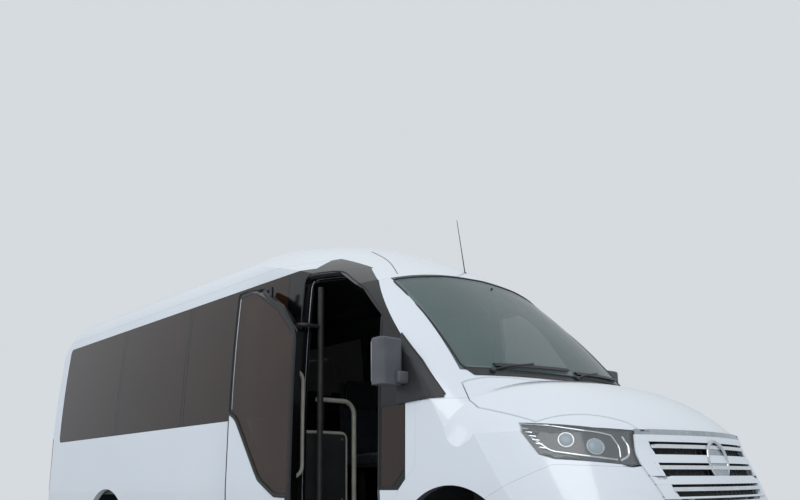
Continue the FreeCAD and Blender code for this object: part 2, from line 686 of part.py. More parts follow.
frame_hinges = []
door_hinges = []
for height, front in REAR_HINGES:
    upper = height + BARREL + size("face_clearance")
    frame_hinges += [strap(front, hinge_side, hinge_side + 45, height), barrel(height)]
    door_hinges += [strap(front + 15, hinge_side - 75, hinge_side - 25, upper), barrel(upper)]
    door_hinges.append(strap(hinge_station_rear - 12, hinge_side - 75, hinge_side, upper))
rear_frame = rear_frame.fuse(frame_hinges + [mirrored(piece) for piece in frame_hinges])
publish("rear_frame", solids(rear_frame, 1e5))
rear_edges = [(-SHUT / 2, rear_foot), (-rear_side, rear_foot), (-rear_side, rear_top), (-SHUT / 2, rear_top)]
rear_pane = [(-90, belt + 40), (-700, belt + 40), (-660, 2060), (-90, 2060)]
rear_door = rear_wall.common(front_prism(rear_edges, tail_front, tail_rear))
rear_door, rear_panes = glazed(rear_door, [rear_pane], RIGHT, 40,
                               lambda outline, r: front_prism(outline, tail_front, tail_rear, r))
rear_door = solids(rear_door.fuse(door_hinges), 1e5)
rear_glass = solids(rear_panes[0], 1e3)
publish("rear_door_right", rear_door)
publish("rear_door_glass_right", rear_glass)
publish("rear_door_left", mirrored(rear_door))
publish("rear_door_glass_left", mirrored(rear_glass))

# What follows is built from primitives and sketches bound to the sheet
MIDDLE = (0.5, "body_length")


def behind(*terms):
    """The terms of an X place a given way behind the front bumper."""
    back = []
    for term in terms:
        share, alias = term if isinstance(term, tuple) else (1.0, term)
        back.append((-share, alias) if isinstance(alias, str) else -alias)
    return [MIDDLE] + back


def set_size(feature, name, terms):
    value, text = total(*terms)
    setattr(feature, name, value)
    feature.setExpression(name, text)


def set_place(feature, place, turn=None):
    """Puts a feature at X, Y and Z, each a list of terms, after a turn about an axis."""
    spot = [total(*terms)[0] for terms in place]
    rotation = Rotation(Vector(*turn[0]), turn[1]) if turn else Rotation()
    feature.Placement = Placement(Vector(*spot), rotation)
    for axis, terms in zip("xyz", place):
        feature.setExpression("Placement.Base." + axis, total(*terms)[1])
    return feature


def block(name, place, extent):
    """A box from its lowest corner."""
    feature = doc.addObject("Part::Box", name)
    for side, terms in zip(("Length", "Width", "Height"), extent):
        set_size(feature, side, terms)
    return set_place(feature, place)


ALONG_Y = ((1, 0, 0), -90)
ALONG_X = ((0, 1, 0), 90)


def rod(name, place, radius, height, turn=None):
    feature = doc.addObject("Part::Cylinder", name)
    set_size(feature, "Radius", radius)
    set_size(feature, "Height", height)
    return set_place(feature, place, turn)


def joined(name, pieces):
    feature = doc.addObject("Part::MultiFuse", name)
    feature.Shapes = pieces
    return feature


def grouped(name, pieces):
    feature = doc.addObject("Part::Compound", name)
    feature.Links = pieces
    return feature


def without(name, base, tool):
    feature = doc.addObject("Part::Cut", name)
    feature.Base = base
    feature.Tool = tool
    return feature


def own_plane(body, role):
    for feature in body.Origin.OriginFeatures:
        if feature.Role == role:
            return feature


def section(body, name, role, corners):
    """A closed sketch of straight lines whose corners are bound to the sheet."""
    sketch = body.newObject("Sketcher::SketchObject", name)
    sketch.AttachmentSupport = [(own_plane(body, role), "")]
    sketch.MapMode = "FlatFace"
    spots = [Vector(total(*across)[0], total(*up)[0], 0) for across, up in corners]
    count = len(spots)
    for i in range(count):
        sketch.addGeometry(Part.LineSegment(spots[i], spots[(i + 1) % count]), False)
    for i in range(count):
        sketch.addConstraint(Sketcher.Constraint("Coincident", i, 2, (i + 1) % count, 1))
    for i, (across, up) in enumerate(corners):
        for kind, axis, terms in (("DistanceX", -2, across), ("DistanceY", -1, up)):
            value, text = total(*terms)
            if abs(value) < 1e-9:
                sketch.addConstraint(Sketcher.Constraint("PointOnObject", i, 1, axis))
            else:
                index = sketch.addConstraint(Sketcher.Constraint(kind, -1, 1, i, 1, value))
                sketch.setExpression("Constraints[%d]" % index, text)
    return sketch


def revolved(name, corners, place, turn=None):
    """A solid of revolution about its own Y axis; corners are along Y and away from it."""
    body = doc.addObject("PartDesign::Body", name)
    sketch = section(body, name + "_section", "YZ_Plane", corners)
    revolution = body.newObject("PartDesign::Revolution", name + "_turn")
    revolution.Profile = sketch
    revolution.ReferenceAxis = (sketch, ["H_Axis"])
    revolution.Angle = 360
    body.Tip = revolution
    set_place(body, place, turn)
    return body


# Wheels. Each section runs from the wheel's inner edge outwards.
def tyre(name, width, place, turn):
    seat = ["rim_radius", "face_clearance"]
    over_lip = ["rim_radius", "rim_lip", "face_clearance"]
    edge = ["tyre_radius"]
    corners = [
        ([14], seat),
        ([width, -14], seat),
        ([width, -14], over_lip),
        ([width, -4], ["rim_radius", 22]),
        ([width], ["rim_radius", 70]),
        ([width, -5], edge + [-38]),
        ([width, -26], edge + [-10]),
        ([(0.5, width)], edge),
        ([26], edge + [-10]),
        ([5], edge + [-38]),
        ([0], ["rim_radius", 70]),
        ([4], ["rim_radius", 22]),
        ([14], over_lip),
    ]
    return revolved(name, corners, place, turn)


def rim(name, width, disc, boss, place, turn):
    """Barrel, disc and hub; disc and boss are how far they lie from the inner edge."""
    lip = ["rim_radius", "rim_lip"]
    bore = ["spindle_radius", "running_clearance"]
    far = [width, -4]
    corners = [
        ([4], lip),
        ([13.7], lip),
        ([13.7], ["rim_radius"]),
        ([width, -13.7], ["rim_radius"]),
        ([width, -13.7], lip),
        (far, lip),
        (far, ["rim_well", 8]),
        (disc + ["disc_thickness"], ["rim_well"]),
        (disc + ["disc_thickness"], bore),
        (boss, bore),
        (boss, ["hub_radius"]),
        (disc, ["hub_radius"]),
        (disc, ["rim_well", -14]),
        ([4], ["rim_well"]),
    ]
    return revolved(name, corners, place, turn)


HALF_TRACK = (0.5, "track")
HALF_TYRE = (0.5, "tyre_width")
HALF_TWIN = (0.5, "twin_width")
HALF_PITCH = (0.5, "twin_pitch")
front_x = behind("front_overhang")
rear_x = behind("front_overhang", "wheelbase")
axle_z = ["tyre_radius"]
TURN_LEFT = None
TURN_RIGHT = ((0, 0, 1), 180)


def negative(terms):
    out = []
    for term in terms:
        share, alias = term if isinstance(term, tuple) else (1.0, term)
        out.append((-share, alias) if isinstance(alias, str) else -alias)
    return out


def on_side(side, terms):
    return list(terms) if side == LEFT else negative(terms)


def front_wheel(name, side):
    turn = TURN_LEFT if side == LEFT else TURN_RIGHT
    inner = on_side(side, [HALF_TRACK, (-0.5, "tyre_width")])
    place = [front_x, inner, axle_z]
    keep("front_tyre_" + name, tyre("front_tyre_" + name, "tyre_width", place, turn))
    keep("front_rim_" + name, rim("front_rim_" + name, "tyre_width", [130], [60], place, turn))


def rear_wheels(name, side):
    turn_out = TURN_LEFT if side == LEFT else TURN_RIGHT
    turn_in = TURN_RIGHT if side == LEFT else TURN_LEFT
    middle = (0.5, "rear_track")
    outer_inner = on_side(side, [middle, HALF_PITCH, (-0.5, "twin_width")])
    inner_outer = on_side(side, [middle, (-0.5, "twin_pitch"), HALF_TWIN])
    out_place = [rear_x, outer_inner, axle_z]
    in_place = [rear_x, inner_outer, axle_z]
    meet = [(-0.5, "twin_pitch"), HALF_TWIN]
    tyres = [tyre("rear_tyre_out_" + name, "twin_width", out_place, turn_out),
             tyre("rear_tyre_in_" + name, "twin_width", in_place, turn_in)]
    rims = [rim("rear_rim_out_" + name, "twin_width", [30], meet, out_place, turn_out),
            rim("rear_rim_in_" + name, "twin_width", [30], meet, in_place, turn_in)]
    keep("rear_tyres_" + name, grouped("rear_tyres_" + name, tyres))
    keep("rear_rims_" + name, grouped("rear_rims_" + name, rims))


for name, side in SIDES:
    front_wheel(name, side)
    rear_wheels(name, side)


# Knuckles: a kingpin post, a spindle into the hub and a steering arm
def knuckle(name, side):
    kingpin_y = on_side(side, ["kingpin_side"])
    post = rod("kingpin_" + name, [front_x, kingpin_y, ["tyre_radius", -130]], ["kingpin_radius"], [260])
    hub_start = [HALF_TRACK, (-0.5, "tyre_width"), 60]
    reach = [HALF_TRACK, (-0.5, "tyre_width"), 60, 60, "-kingpin_side"]
    shoulder = rod("shoulder_" + name, [front_x, kingpin_y, axle_z], [44],
                   hub_start + ["-kingpin_side", "-face_clearance"],
                   ALONG_Y if side == LEFT else ((1, 0, 0), 90))
    spindle = rod("spindle_" + name, [front_x, kingpin_y, axle_z], ["spindle_radius"], reach,
                  ALONG_Y if side == LEFT else ((1, 0, 0), 90))
    arm = block("steering_arm_" + name,
                [front_x + [-150], on_side(side, ["kingpin_side"]) + [-18], ["tyre_radius", -80]],
                [[150], [36], [26]])
    keep("knuckle_" + name, joined("knuckle_" + name, [post, shoulder, spindle, arm]))


for name, side in SIDES:
    knuckle(name, side)

# Front axle carrier: cross-member, lower arms under the kingpins and struts over them
ARM_TOP = ["tyre_radius", -130, "-face_clearance"]
POST_SIDE = ["rail_side", (0.5, "rail_width"), "face_clearance"]
POST_WIDTH = 60
carrier = [block("cross_member", [front_x + [-90], negative(POST_SIDE) + [-POST_WIDTH],
                                  ["tyre_radius", -160, "-face_clearance"]],
                 [[180], [(2, "rail_side"), "rail_width", (2, "face_clearance"), 2 * POST_WIDTH], [90]])]
for name, side in SIDES:
    low = ["kingpin_side", 30]
    lower = block("lower_arm_" + name, [front_x + [-45], negative(low) if side == RIGHT else [380],
                                        ["tyre_radius", -165, "-face_clearance"]],
                  [[90], ["kingpin_side", 30, -380], [35]])
    strut = rod("strut_" + name, [front_x, on_side(side, ["kingpin_side"]),
                                  ["tyre_radius", 130, "face_clearance"]], [26], [240])
    tower_end = ["kingpin_side", 50]
    tower = block("tower_" + name, [front_x + [-70], negative(tower_end) if side == RIGHT else POST_SIDE,
                                    ["tyre_radius", 370, "face_clearance"]],
                  [[140], tower_end + negative(POST_SIDE), [30]])
    link = block("tower_post_" + name,
                 [front_x + [-60], negative(POST_SIDE) + [-POST_WIDTH] if side == RIGHT else POST_SIDE,
                  ["tyre_radius", -120]], [[120], [POST_WIDTH], [500]])
    carrier += [lower, strut, tower, link]
keep("front_axle", joined("front_axle", carrier))

DIFFERENTIAL = 150

# Rear axle: a beam with a differential, spindles at its ends, and a leaf spring each side
INNER_DISC = [(0.5, "rear_track"), (-0.5, "twin_pitch"), (0.5, "twin_width"), -30, "-disc_thickness"]
beam_end = INNER_DISC + ["-face_clearance"]
beam_run = [(2.0 * term[0], term[1]) if isinstance(term, tuple) else 2 * term if not isinstance(term, str)
            else (-2.0 if term[0] == "-" else 2.0, term.lstrip("-")) for term in beam_end]
beam = rod("beam", [rear_x, negative(beam_end), axle_z], ["axle_radius"], beam_run, ALONG_Y)
rear_spindle = rod("rear_spindle", [rear_x, negative([(0.5, "rear_track"), 40]), axle_z],
                   ["spindle_radius"], [(1, "rear_track"), 80], ALONG_Y)
differential = doc.addObject("Part::Sphere", "differential")
set_size(differential, "Radius", [DIFFERENTIAL])
set_place(differential, [rear_x, [0], axle_z])
springs = []
for name, side in SIDES:
    spring_y = on_side(side, ["rail_side", 30]) + [-35]
    springs.append(block("spring_" + name, [rear_x + [-680], spring_y, ["tyre_radius", 52 - 8]],
                         [[1360], [70], [30]]))
    springs.append(block("shackle_rear_" + name, [rear_x + [-680], spring_y, ["tyre_radius", 60]],
                         [[60], [70], ["floor_height", "-floor_thickness", "-rail_depth", "-tyre_radius", -60]]))
    springs.append(block("shackle_front_" + name, [rear_x + [620], spring_y, ["tyre_radius", 60]],
                         [[60], [70], ["floor_height", "-floor_thickness", "-rail_depth", "-tyre_radius", -60]]))
keep("rear_axle", joined("rear_axle", [beam, rear_spindle, differential] + springs))

# Chassis rails with cross-members, the towing sockets at their ends
RAIL_TOP = ["floor_height", "-floor_thickness"]
RAIL_FOOT = ["floor_height", "-floor_thickness", "-rail_depth"]
RAIL_NOSE = 190
STEP_DEPTH = 125
rails = []
for name, side in SIDES:
    inner = on_side(side, ["rail_side"]) + [(-0.5, "rail_width")]
    rails.append(block("rail_" + name, [[(-0.5, "body_length"), STEP_DEPTH, "face_clearance"], inner, RAIL_FOOT],
                       [["body_length", -STEP_DEPTH, -RAIL_NOSE, "-face_clearance"], ["rail_width"],
                        ["rail_depth"]]))
MEMBERS = (250, 1760, 2500, 3500, 4500, 5900, 6780)
for i, station in enumerate(MEMBERS):
    rails.append(block("member_%d" % i, [behind(station + 30), negative(["rail_side"]), RAIL_FOOT + [20]],
                       [[60], [(2, "rail_side")], ["rail_depth", -40]]))
tow_tube = rod("tow_tube", [behind(RAIL_NOSE + 60), [TOW_SIDE], [TOW_HEIGHT]], [26], [120], ALONG_X)
tow_arm = block("tow_arm", [behind(RAIL_NOSE + 60), [TOW_SIDE], [TOW_HEIGHT, -20]],
                [[60], [-TOW_SIDE, "-rail_side"], [80]])
tow_bore = rod("tow_bore", [behind(RAIL_NOSE + 10), [TOW_SIDE], [TOW_HEIGHT]], ["tow_bore_radius"], [120], ALONG_X)
keep("chassis", without("chassis", joined("chassis_solid", rails + [tow_tube, tow_arm]), tow_bore))

# Engine with its gearbox, as one plain block
GEARBOX_REAR = 1700
engine_block = block("engine_block", [behind(1010), [-280], [520]], [[620], [560], [560]])
gearbox = block("gearbox", [behind(GEARBOX_REAR), [-130], [310]], [[700], [260], [290]])
rail_face = ["rail_side", (-0.5, "rail_width"), "-face_clearance"]
mount_feet = block("engine_feet", [behind(750), negative(rail_face), [540]],
                   [[90], [(2, "rail_side"), "-rail_width", (-2, "face_clearance")], [60]])
keep("engine", joined("engine", [engine_block, gearbox, mount_feet]))
keep("drive_shaft", rod("drive_shaft", [rear_x + [DIFFERENTIAL, "face_clearance"], [0], axle_z], [38],
                        ["wheelbase", "front_overhang", -GEARBOX_REAR, -DIFFERENTIAL, (-2, "face_clearance")],
                        ALONG_X))

# Fuel tank and exhaust hang beside the rails
tank = block("fuel_tank_block", [behind(3450), [470], [330]], [[900], [380], [290]])
rounded_tank = doc.addObject("Part::Fillet", "fuel_tank")
rounded_tank.Base = tank
doc.recompute()
rounded_tank.Edges = [(i + 1, 40, 40) for i, edge in enumerate(tank.Shape.Edges)
                      if abs(edge.tangentAt(edge.FirstParameter).x) > 0.9]
keep("fuel_tank", rounded_tank)
# Floor with a stairwell at the entry and tubs over the rear wheels
floor_side = ["rear_floor_side"]
plate = block("floor_plate", [[(-0.5, "body_length"), 130], negative(floor_side), RAIL_TOP],
              [["body_length", -130, "-toe_station"], [(2, "rear_floor_side")], ["floor_thickness"]])
toe_board = block("toe_board", [behind("toe_station", 40), negative(floor_side), RAIL_TOP],
                  [[40], [(2, "rear_floor_side")], ["dash_foot", "-face_clearance", "-floor_height",
                                                    "floor_thickness"]])
well = block("stairwell", [behind("entry_rear_station"), negative(floor_side) + [-10], [0]],
             [["entry_rear_station", "-entry_front_station"], ["steps_depth", 10], [1000]])
tub_holes = []
tubs = []
for name, side in SIDES:
    tub_holes.append(block("tub_hole_" + name, [rear_x + [-430], [-1000] if side == RIGHT else ["tub_side"], [0]],
                           [[860], [1000, "-tub_side"], [760]]))
    tubs.append(block("tub_" + name,
                      [rear_x + [-460], negative(["rear_floor_side"]) if side == RIGHT else ["tub_side", -30],
                       RAIL_TOP], [[920], ["rear_floor_side", "-tub_side", 30], [170]]))
corner_foot = RAIL_TOP + [-10]
corner_right = block("corner_right", [[0], [0], corner_foot], [[200], [230], [60]])
set_place(corner_right, [[(-0.5, "body_length"), 108.9], negative(floor_side) + [-163.2], corner_foot],
          ((0, 0, 1), 45))
corner_left = block("corner_left", [[0], [0], corner_foot], [[230], [200], [60]])
set_place(corner_left, [[(-0.5, "body_length"), 87.6], floor_side + [-140.9], corner_foot], ((0, 0, 1), 45))
solid_floor = joined("floor_solid", [plate, toe_board] + tubs)
keep("floor", without("floor", solid_floor, joined("floor_holes", [well, corner_right, corner_left] + tub_holes)))

# Steps down to the entry, with the partition ahead of the first seat
step_x = behind("entry_rear_station", -8)
STEP = ["entry_rear_station", "-entry_front_station", -16]
STEP_EDGE = 20
lower_step = block("lower_step", [step_x, negative(floor_side) + [STEP_EDGE], ["entry_foot"]],
                   [STEP, ["steps_depth", -STEP_EDGE, "-face_clearance"], [30]])
upper_step = block("upper_step", [step_x, negative(floor_side) + [200], ["entry_foot", 30]],
                   [STEP, ["steps_depth", -200, "-face_clearance"], [110]])
riser = block("riser", [step_x, negative(floor_side) + ["steps_depth", "-face_clearance", -20], ["entry_foot"]],
              [STEP, [20], ["floor_height", "-entry_foot"]])
keep("entry_steps", joined("entry_steps", [lower_step, upper_step, riser]))
partition = block("partition_board", [behind(2440), negative(floor_side) + [10], ["floor_height"]],
                  [[25], [380], [500]])
keep("partition", partition)

# Handrail beside the entry: an upright with a bent top, on the floor
RAIL_PIPE = 16
pipe_spots = [Vector(at_station(2400), -500, size("floor_height")), Vector(at_station(2400), -500, 1380),
              Vector(at_station(2400), -820, 1380)]


def bent_pipe(spots, radius, bend):
    """A pipe along straight runs with an arc at each corner."""
    edges = []
    start = spots[0]
    for i in range(1, len(spots) - 1):
        before = (spots[i - 1] - spots[i]).normalize()
        after = (spots[i + 1] - spots[i]).normalize()
        half = before.getAngle(after) / 2
        reach = bend / math.tan(half)
        enter = spots[i] + before * reach
        leave = spots[i] + after * reach
        bisector = (before + after).normalize()
        centre = spots[i] + bisector * (bend / math.sin(half))
        edges.append(Part.LineSegment(start, enter).toShape())
        edges.append(Part.Arc(enter, centre - bisector * bend, leave).toShape())
        start = leave
    edges.append(Part.LineSegment(start, spots[-1]).toShape())
    path = Part.Wire(edges)
    direction = (spots[1] - spots[0]).normalize()
    profile = Part.Wire([Part.makeCircle(radius, spots[0], direction)])
    return path.makePipeShell([profile], True, False)


publish("handrails", bent_pipe(pipe_spots, RAIL_PIPE, 90))

# Entry door's shaft with its two cranked arms, in the open place
SHAFT_TOP = 2120
shaft_foot = size("entry_foot") + 30 + size("face_clearance")
shaft_spot = Vector(at_station(size("shaft_station")), -shaft_side, 0)
elbow_spot = Vector(shaft_spot.x, -pin_side, 0)
pin_spot = Vector(at_station(pin_station), -pin_side, 0)
shaft_shape = Part.makeCylinder(size("shaft_radius"), SHAFT_TOP - shaft_foot, shaft_spot + Vector(0, 0, shaft_foot))
for height in ARM_HEIGHTS:
    level = Vector(0, 0, height)
    arm = bent_pipe([shaft_spot + level, elbow_spot + level, pin_spot + level], size("arm_radius"), 60)
    pin = Part.makeCylinder(size("pin_radius"), 2 * size("pin_half"), pin_spot + level - Vector(0, 0, size("pin_half")))
    shaft_shape = shaft_shape.fuse([arm, pin])
publish("entry_door_arm", solids(shaft_shape))

# Exhaust: from the engine, under the right rail and out ahead of the rear wheels
EXHAUST_HEIGHT = 420
EXHAUST_SIDE = -492
MUFFLER_SIDE = -560
exhaust_spots = [Vector(at_station(900), -200, 519.7), Vector(at_station(900), -200, EXHAUST_HEIGHT),
                 Vector(at_station(1150), -200, EXHAUST_HEIGHT), Vector(at_station(1450), EXHAUST_SIDE, EXHAUST_HEIGHT),
                 Vector(at_station(4450), EXHAUST_SIDE, EXHAUST_HEIGHT),
                 Vector(at_station(4720), -880, EXHAUST_HEIGHT)]
exhaust_pipe = bent_pipe(exhaust_spots, 32, 80)
muffler = Part.makeCylinder(105, 700, Vector(at_station(3600), MUFFLER_SIDE, EXHAUST_HEIGHT), Vector(1, 0, 0))
hanger_top = size("floor_height") - size("floor_thickness") - size("face_clearance")
hangers = [Part.makeBox(30, 40, hanger_top - EXHAUST_HEIGHT, Vector(at_station(station), MUFFLER_SIDE - 20, EXHAUST_HEIGHT))
           for station in (2980, 3550)]
publish("exhaust", solids(exhaust_pipe.fuse([muffler] + hangers)))

# Mirrors: a housing on an arm from the plate at the foot of the pillar
def mirror_shape(side):
    far = size("mirror_side") - size("face_clearance")
    housing = Part.makeBox(110, 165, 265, Vector(at_station(1443), side * (far - 82.5) - 82.5, 1354))
    upright = [e for e in housing.Edges if e.Length > 200]
    housing = housing.makeFillet(34, upright)
    flat = [e for e in housing.Edges if abs(e.BoundBox.ZMax - e.BoundBox.ZMin) < 1 and e.BoundBox.ZMin > 1600]
    housing = housing.makeFillet(18, flat)
    arm = Part.makeBox(60, 130, 36, Vector(at_station(1370), side * 1000 - 65, 1366))
    arm = arm.makeFillet(12, [e for e in arm.Edges if e.Length > 100])
    seated = housing.fuse(arm).cut(outer)
    seated.translate(Vector(0, side * size("face_clearance"), 0))
    return seated


for name, side in SIDES:
    publish("mirror_" + name, solids(mirror_shape(side)))

# Antenna foot and rod over the windscreen
foot = Part.makeCone(30, 12, 70, Vector(at_station(1760), 0, 2200), Vector(-0.35, 0, 1))
whip = Part.makeCone(4, 2, 440, Vector(at_station(1775), 0, 2235), Vector(-0.16, 0, 1))
antenna = foot.fuse(whip).cut(outer)
publish("antenna", solids(antenna, 1e3))

# Nose trim: a strip under the bonnet's edge and a bare round disc
disc = Part.makeCylinder(98, 60, Vector(at_station(100), 0, 905), Vector(1, 0, 0.12))
strip = front_prism([(-440, 1036), (440, 1036), (436, 1026), (-436, 1026)], NOSE, 400)
emblem = outer.translated(Vector(5, 0, 1)).common(disc).cut(outer.translated(Vector(0.3, 0, 0)))
strip = outer.translated(Vector(5, 0, 1)).common(strip).cut(outer.translated(Vector(0.3, 0, 0)))
publish("nose_trim", Part.makeCompound([solids(emblem, 1e3), solids(strip, 1e3)]))

# Wipers lie along the foot of the windscreen
wiper_top = outer.translated(Vector(10, 0, 12))
wiper_seat = outer.translated(Vector(0.2, 0, 0.2))
wipers = []
for inner, far in ((-600, 20), (80, 680)):
    band = front_prism([(inner, 1462), (far, 1478), (far, 1496), (inner, 1480)], 500, 1400)
    wipers.append(solids(wiper_top.common(band).cut(wiper_seat), 1e3))
publish("wipers", Part.makeCompound(wipers))

# Rear bumper with its step
rear_bumper = block("rear_bumper_block", [[(-0.5, "body_length")], [-STEP_SIDE], ["sill_height", 10]],
                    [[STEP_DEPTH], [2 * STEP_SIDE], ["rear_door_foot", "-sill_height", -40]])
bumper_fillet = doc.addObject("Part::Fillet", "rear_bumper")
bumper_fillet.Base = rear_bumper
doc.recompute()
bumper_fillet.Edges = [(i + 1, 40, 40) for i, edge in enumerate(rear_bumper.Shape.Edges)
                       if abs(edge.tangentAt(edge.FirstParameter).z) > 0.9 and edge.BoundBox.XMin < -HALF_LENGTH + 1]
keep("rear_bumper", bumper_fillet)

# Dashboard under the windscreen, following the cabin's form
dash_foot = size("dash_foot")
DASH_SIDE = 905
dash_side = [(1090, dash_foot), (1620, dash_foot), (1640, 1180), (1560, 1290), (1330, 1340), (1090, 1340)]
dash_block = prism(dash_side, lambda s, z: Vector(at_station(s), -DASH_SIDE, z), Vector(0, 2 * DASH_SIDE, 0))
dashboard = cabin.translated(Vector(-0.5, 0, -0.5)).common(dash_block)
publish("dashboard", solids(dashboard, 1e5))

# Steering wheel on its column
WHEEL_SIDE = 430
column = Part.makeCylinder(28, 330, Vector(at_station(1500), WHEEL_SIDE, 1080), Vector(-1, 0, 0.75))
hub_spot = Vector(at_station(1500), WHEEL_SIDE, 1080) + Vector(-1, 0, 0.75).normalize() * 330
ring = Part.makeTorus(205, 17, hub_spot, Vector(-1, 0, 0.75))
spokes = Part.makeBox(34, 400, 14, Vector(-17, -200, -7))
spokes.Placement = Placement(hub_spot, Rotation(Vector(0, 0, 1), Vector(-1, 0, 0.75)))
wheel = column.fuse([ring, spokes])
publish("steering_wheel", solids(wheel.cut(dashboard)))


# Seats: base, cushion and back
def seat(name, front, inner, width):
    """One seat; front and inner are the terms of its front and right edge."""
    base = block(name + "_base", [front + [-400], inner + [60], ["floor_height"]], [[330], width + [-120], [300]])
    cushion = block(name + "_cushion", [front + [-470], inner, ["floor_height", 300]], [[470], width, [110]])
    back = block(name + "_back", [front + [-560], inner, ["floor_height", 320]], [[90], width, [690]])
    return joined(name, [base, cushion, back])


keep("driver_seat", seat("driver_seat_solid", behind(1830), [200], ["seat_width", 60]))
SEAT_ROWS = 5
rows = []
for i in range(SEAT_ROWS):
    front = behind(2700, (i, "seat_pitch"))
    places = [(-910, "a"), (30, "b"), (480, "c")]
    if i == SEAT_ROWS - 2:
        places = [(30, "b")]
    if i == SEAT_ROWS - 1:
        places.append((-460, "d"))
    for offset, letter in places:
        rows.append(seat("seat_%d_%s" % (i, letter), front, [offset], ["seat_width"]))
keep("passenger_seats", grouped("passenger_seats", rows))

# Check every object and every sub-part, then write the files
doc.recompute()
for item in doc.Objects:
    if "Invalid" in item.State or "Error" in item.State:
        raise RuntimeError("%s did not build: %s" % (item.Label, item.State))
labels = [feature.Label for feature in subparts]
if len(set(labels)) != len(labels):
    raise RuntimeError("two sub-parts share a name")
for feature in subparts:
    if feature.Shape.isNull() or not feature.Shape.isValid() or not feature.Shape.Solids:
        raise RuntimeError("%s is not a valid solid" % feature.Label)
for feature in subparts:
    feature.Shape.exportStep("parts/%s.step" % feature.Label)
    print(feature.Label, len(feature.Shape.Solids), round(feature.Shape.Volume / 1e6, 2))
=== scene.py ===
"""Finishes and details of the high-roof minibus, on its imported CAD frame. Metres."""

import bpy
import json
import math
from mathutils import Matrix, Vector
from mathutils.bvhtree import BVHTree


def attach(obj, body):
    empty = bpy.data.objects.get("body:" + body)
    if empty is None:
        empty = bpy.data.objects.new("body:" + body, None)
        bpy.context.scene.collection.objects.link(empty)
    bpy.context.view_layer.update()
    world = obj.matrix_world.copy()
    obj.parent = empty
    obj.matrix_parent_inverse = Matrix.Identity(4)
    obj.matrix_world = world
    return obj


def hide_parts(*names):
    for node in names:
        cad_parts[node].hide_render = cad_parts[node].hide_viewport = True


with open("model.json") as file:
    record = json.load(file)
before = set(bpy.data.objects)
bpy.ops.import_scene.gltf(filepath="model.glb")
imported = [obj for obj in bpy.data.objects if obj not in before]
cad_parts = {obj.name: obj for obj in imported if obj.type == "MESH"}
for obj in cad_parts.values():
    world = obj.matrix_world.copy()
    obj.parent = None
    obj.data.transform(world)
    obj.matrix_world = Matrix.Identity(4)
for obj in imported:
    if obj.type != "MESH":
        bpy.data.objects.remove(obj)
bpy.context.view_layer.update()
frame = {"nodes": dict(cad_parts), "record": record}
NODES = frame["nodes"]
HALF_LENGTH = 3.4835
LEFT = 1
RIGHT = -1
MM = 0.001


def at(station):
    """X of a place that lies that far behind the front bumper."""
    return HALF_LENGTH - station


# Camera, fitted to the photograph's 800 x 500 pixels
PICTURE_WIDTH = 800
FOCAL_PIXELS = 794.2
SENSOR = 36.0
camera_data = bpy.data.cameras.new("camera")
camera_data.sensor_width = SENSOR
camera_data.lens = FOCAL_PIXELS * SENSOR / PICTURE_WIDTH
camera_data.shift_y = 0.10
camera = bpy.data.objects.new("camera", camera_data)
bpy.context.scene.collection.objects.link(camera)
yaw, pitch, roll = (math.radians(angle) for angle in (137.46, 11.06, -0.71))
look = Vector((math.cos(pitch) * math.cos(yaw), math.cos(pitch) * math.sin(yaw), math.sin(pitch)))
level = Vector((math.sin(yaw), -math.cos(yaw), 0))
upright = level.cross(look)
across = level * math.cos(roll) + upright * math.sin(roll)
upright = upright * math.cos(roll) - level * math.sin(roll)
camera.matrix_world = (Matrix.Translation((5.3685, -3.989, 0.809))
                       @ Matrix((across, upright, -look)).transposed().to_4x4())
bpy.context.scene.camera = camera
bpy.context.scene.view_settings.view_transform = "Standard"


# Materials
def linear(code, alpha=1.0):
    """A #rrggbb code as the colour that Blender's sockets take."""
    out = []
    for i in (1, 3, 5):
        level = int(code[i:i + 2], 16) / 255
        out.append(level / 12.92 if level <= 0.04045 else ((level + 0.055) / 1.055) ** 2.4)
    return tuple(out) + (alpha,)


def give(tree, made, inputs):
    """Gives a node's sockets values or links."""
    for key, value in inputs.items():
        if isinstance(value, bpy.types.NodeSocket):
            tree.links.new(value, made.inputs[key])
        else:
            made.inputs[key].default_value = value


def node(tree, kind, inputs=None, **settings):
    """Adds a shader node and sets it up."""
    made = tree.nodes.new("ShaderNode" + kind)
    for key, value in settings.items():
        setattr(made, key, value)
    give(tree, made, inputs or {})
    return made


def blank(name):
    """A new material's tree, its shader and the piece's own coordinates."""
    made = bpy.data.materials.new(name)
    made.use_nodes = True
    tree = made.node_tree
    return made, tree, tree.nodes["Principled BSDF"], node(tree, "TexCoord")


def over(tree, mask, first, second):
    """The second value where the mask is 1, else the first; for colours."""
    return node(tree, "Mix", {0: mask, 6: first, 7: second}, data_type="RGBA").outputs[2]


def maths(tree, operation, first, second, **settings):
    return node(tree, "Math", {0: first, 1: second}, operation=operation, **settings).outputs[0]


def vectors(tree, operation, *values, out="Vector"):
    return node(tree, "VectorMath", dict(enumerate(values)), operation=operation).outputs[out]


def noise(tree, place, size, detail):
    """Noise whose patches are about that many metres wide."""
    return node(tree, "TexNoise", {"Vector": place, "Scale": 1 / size, "Detail": detail}).outputs[0]


def ranged(tree, value, low=0.0, high=1.0, first=0.0, last=1.0):
    """A value between low and high as one between first and last."""
    return node(tree, "MapRange", {0: value, 1: low, 2: high, 3: first, 4: last}).outputs[0]


def bumps(tree, height, distance, strength):
    return node(tree, "Bump", {"Height": height, "Distance": distance, "Strength": strength}).outputs[0]


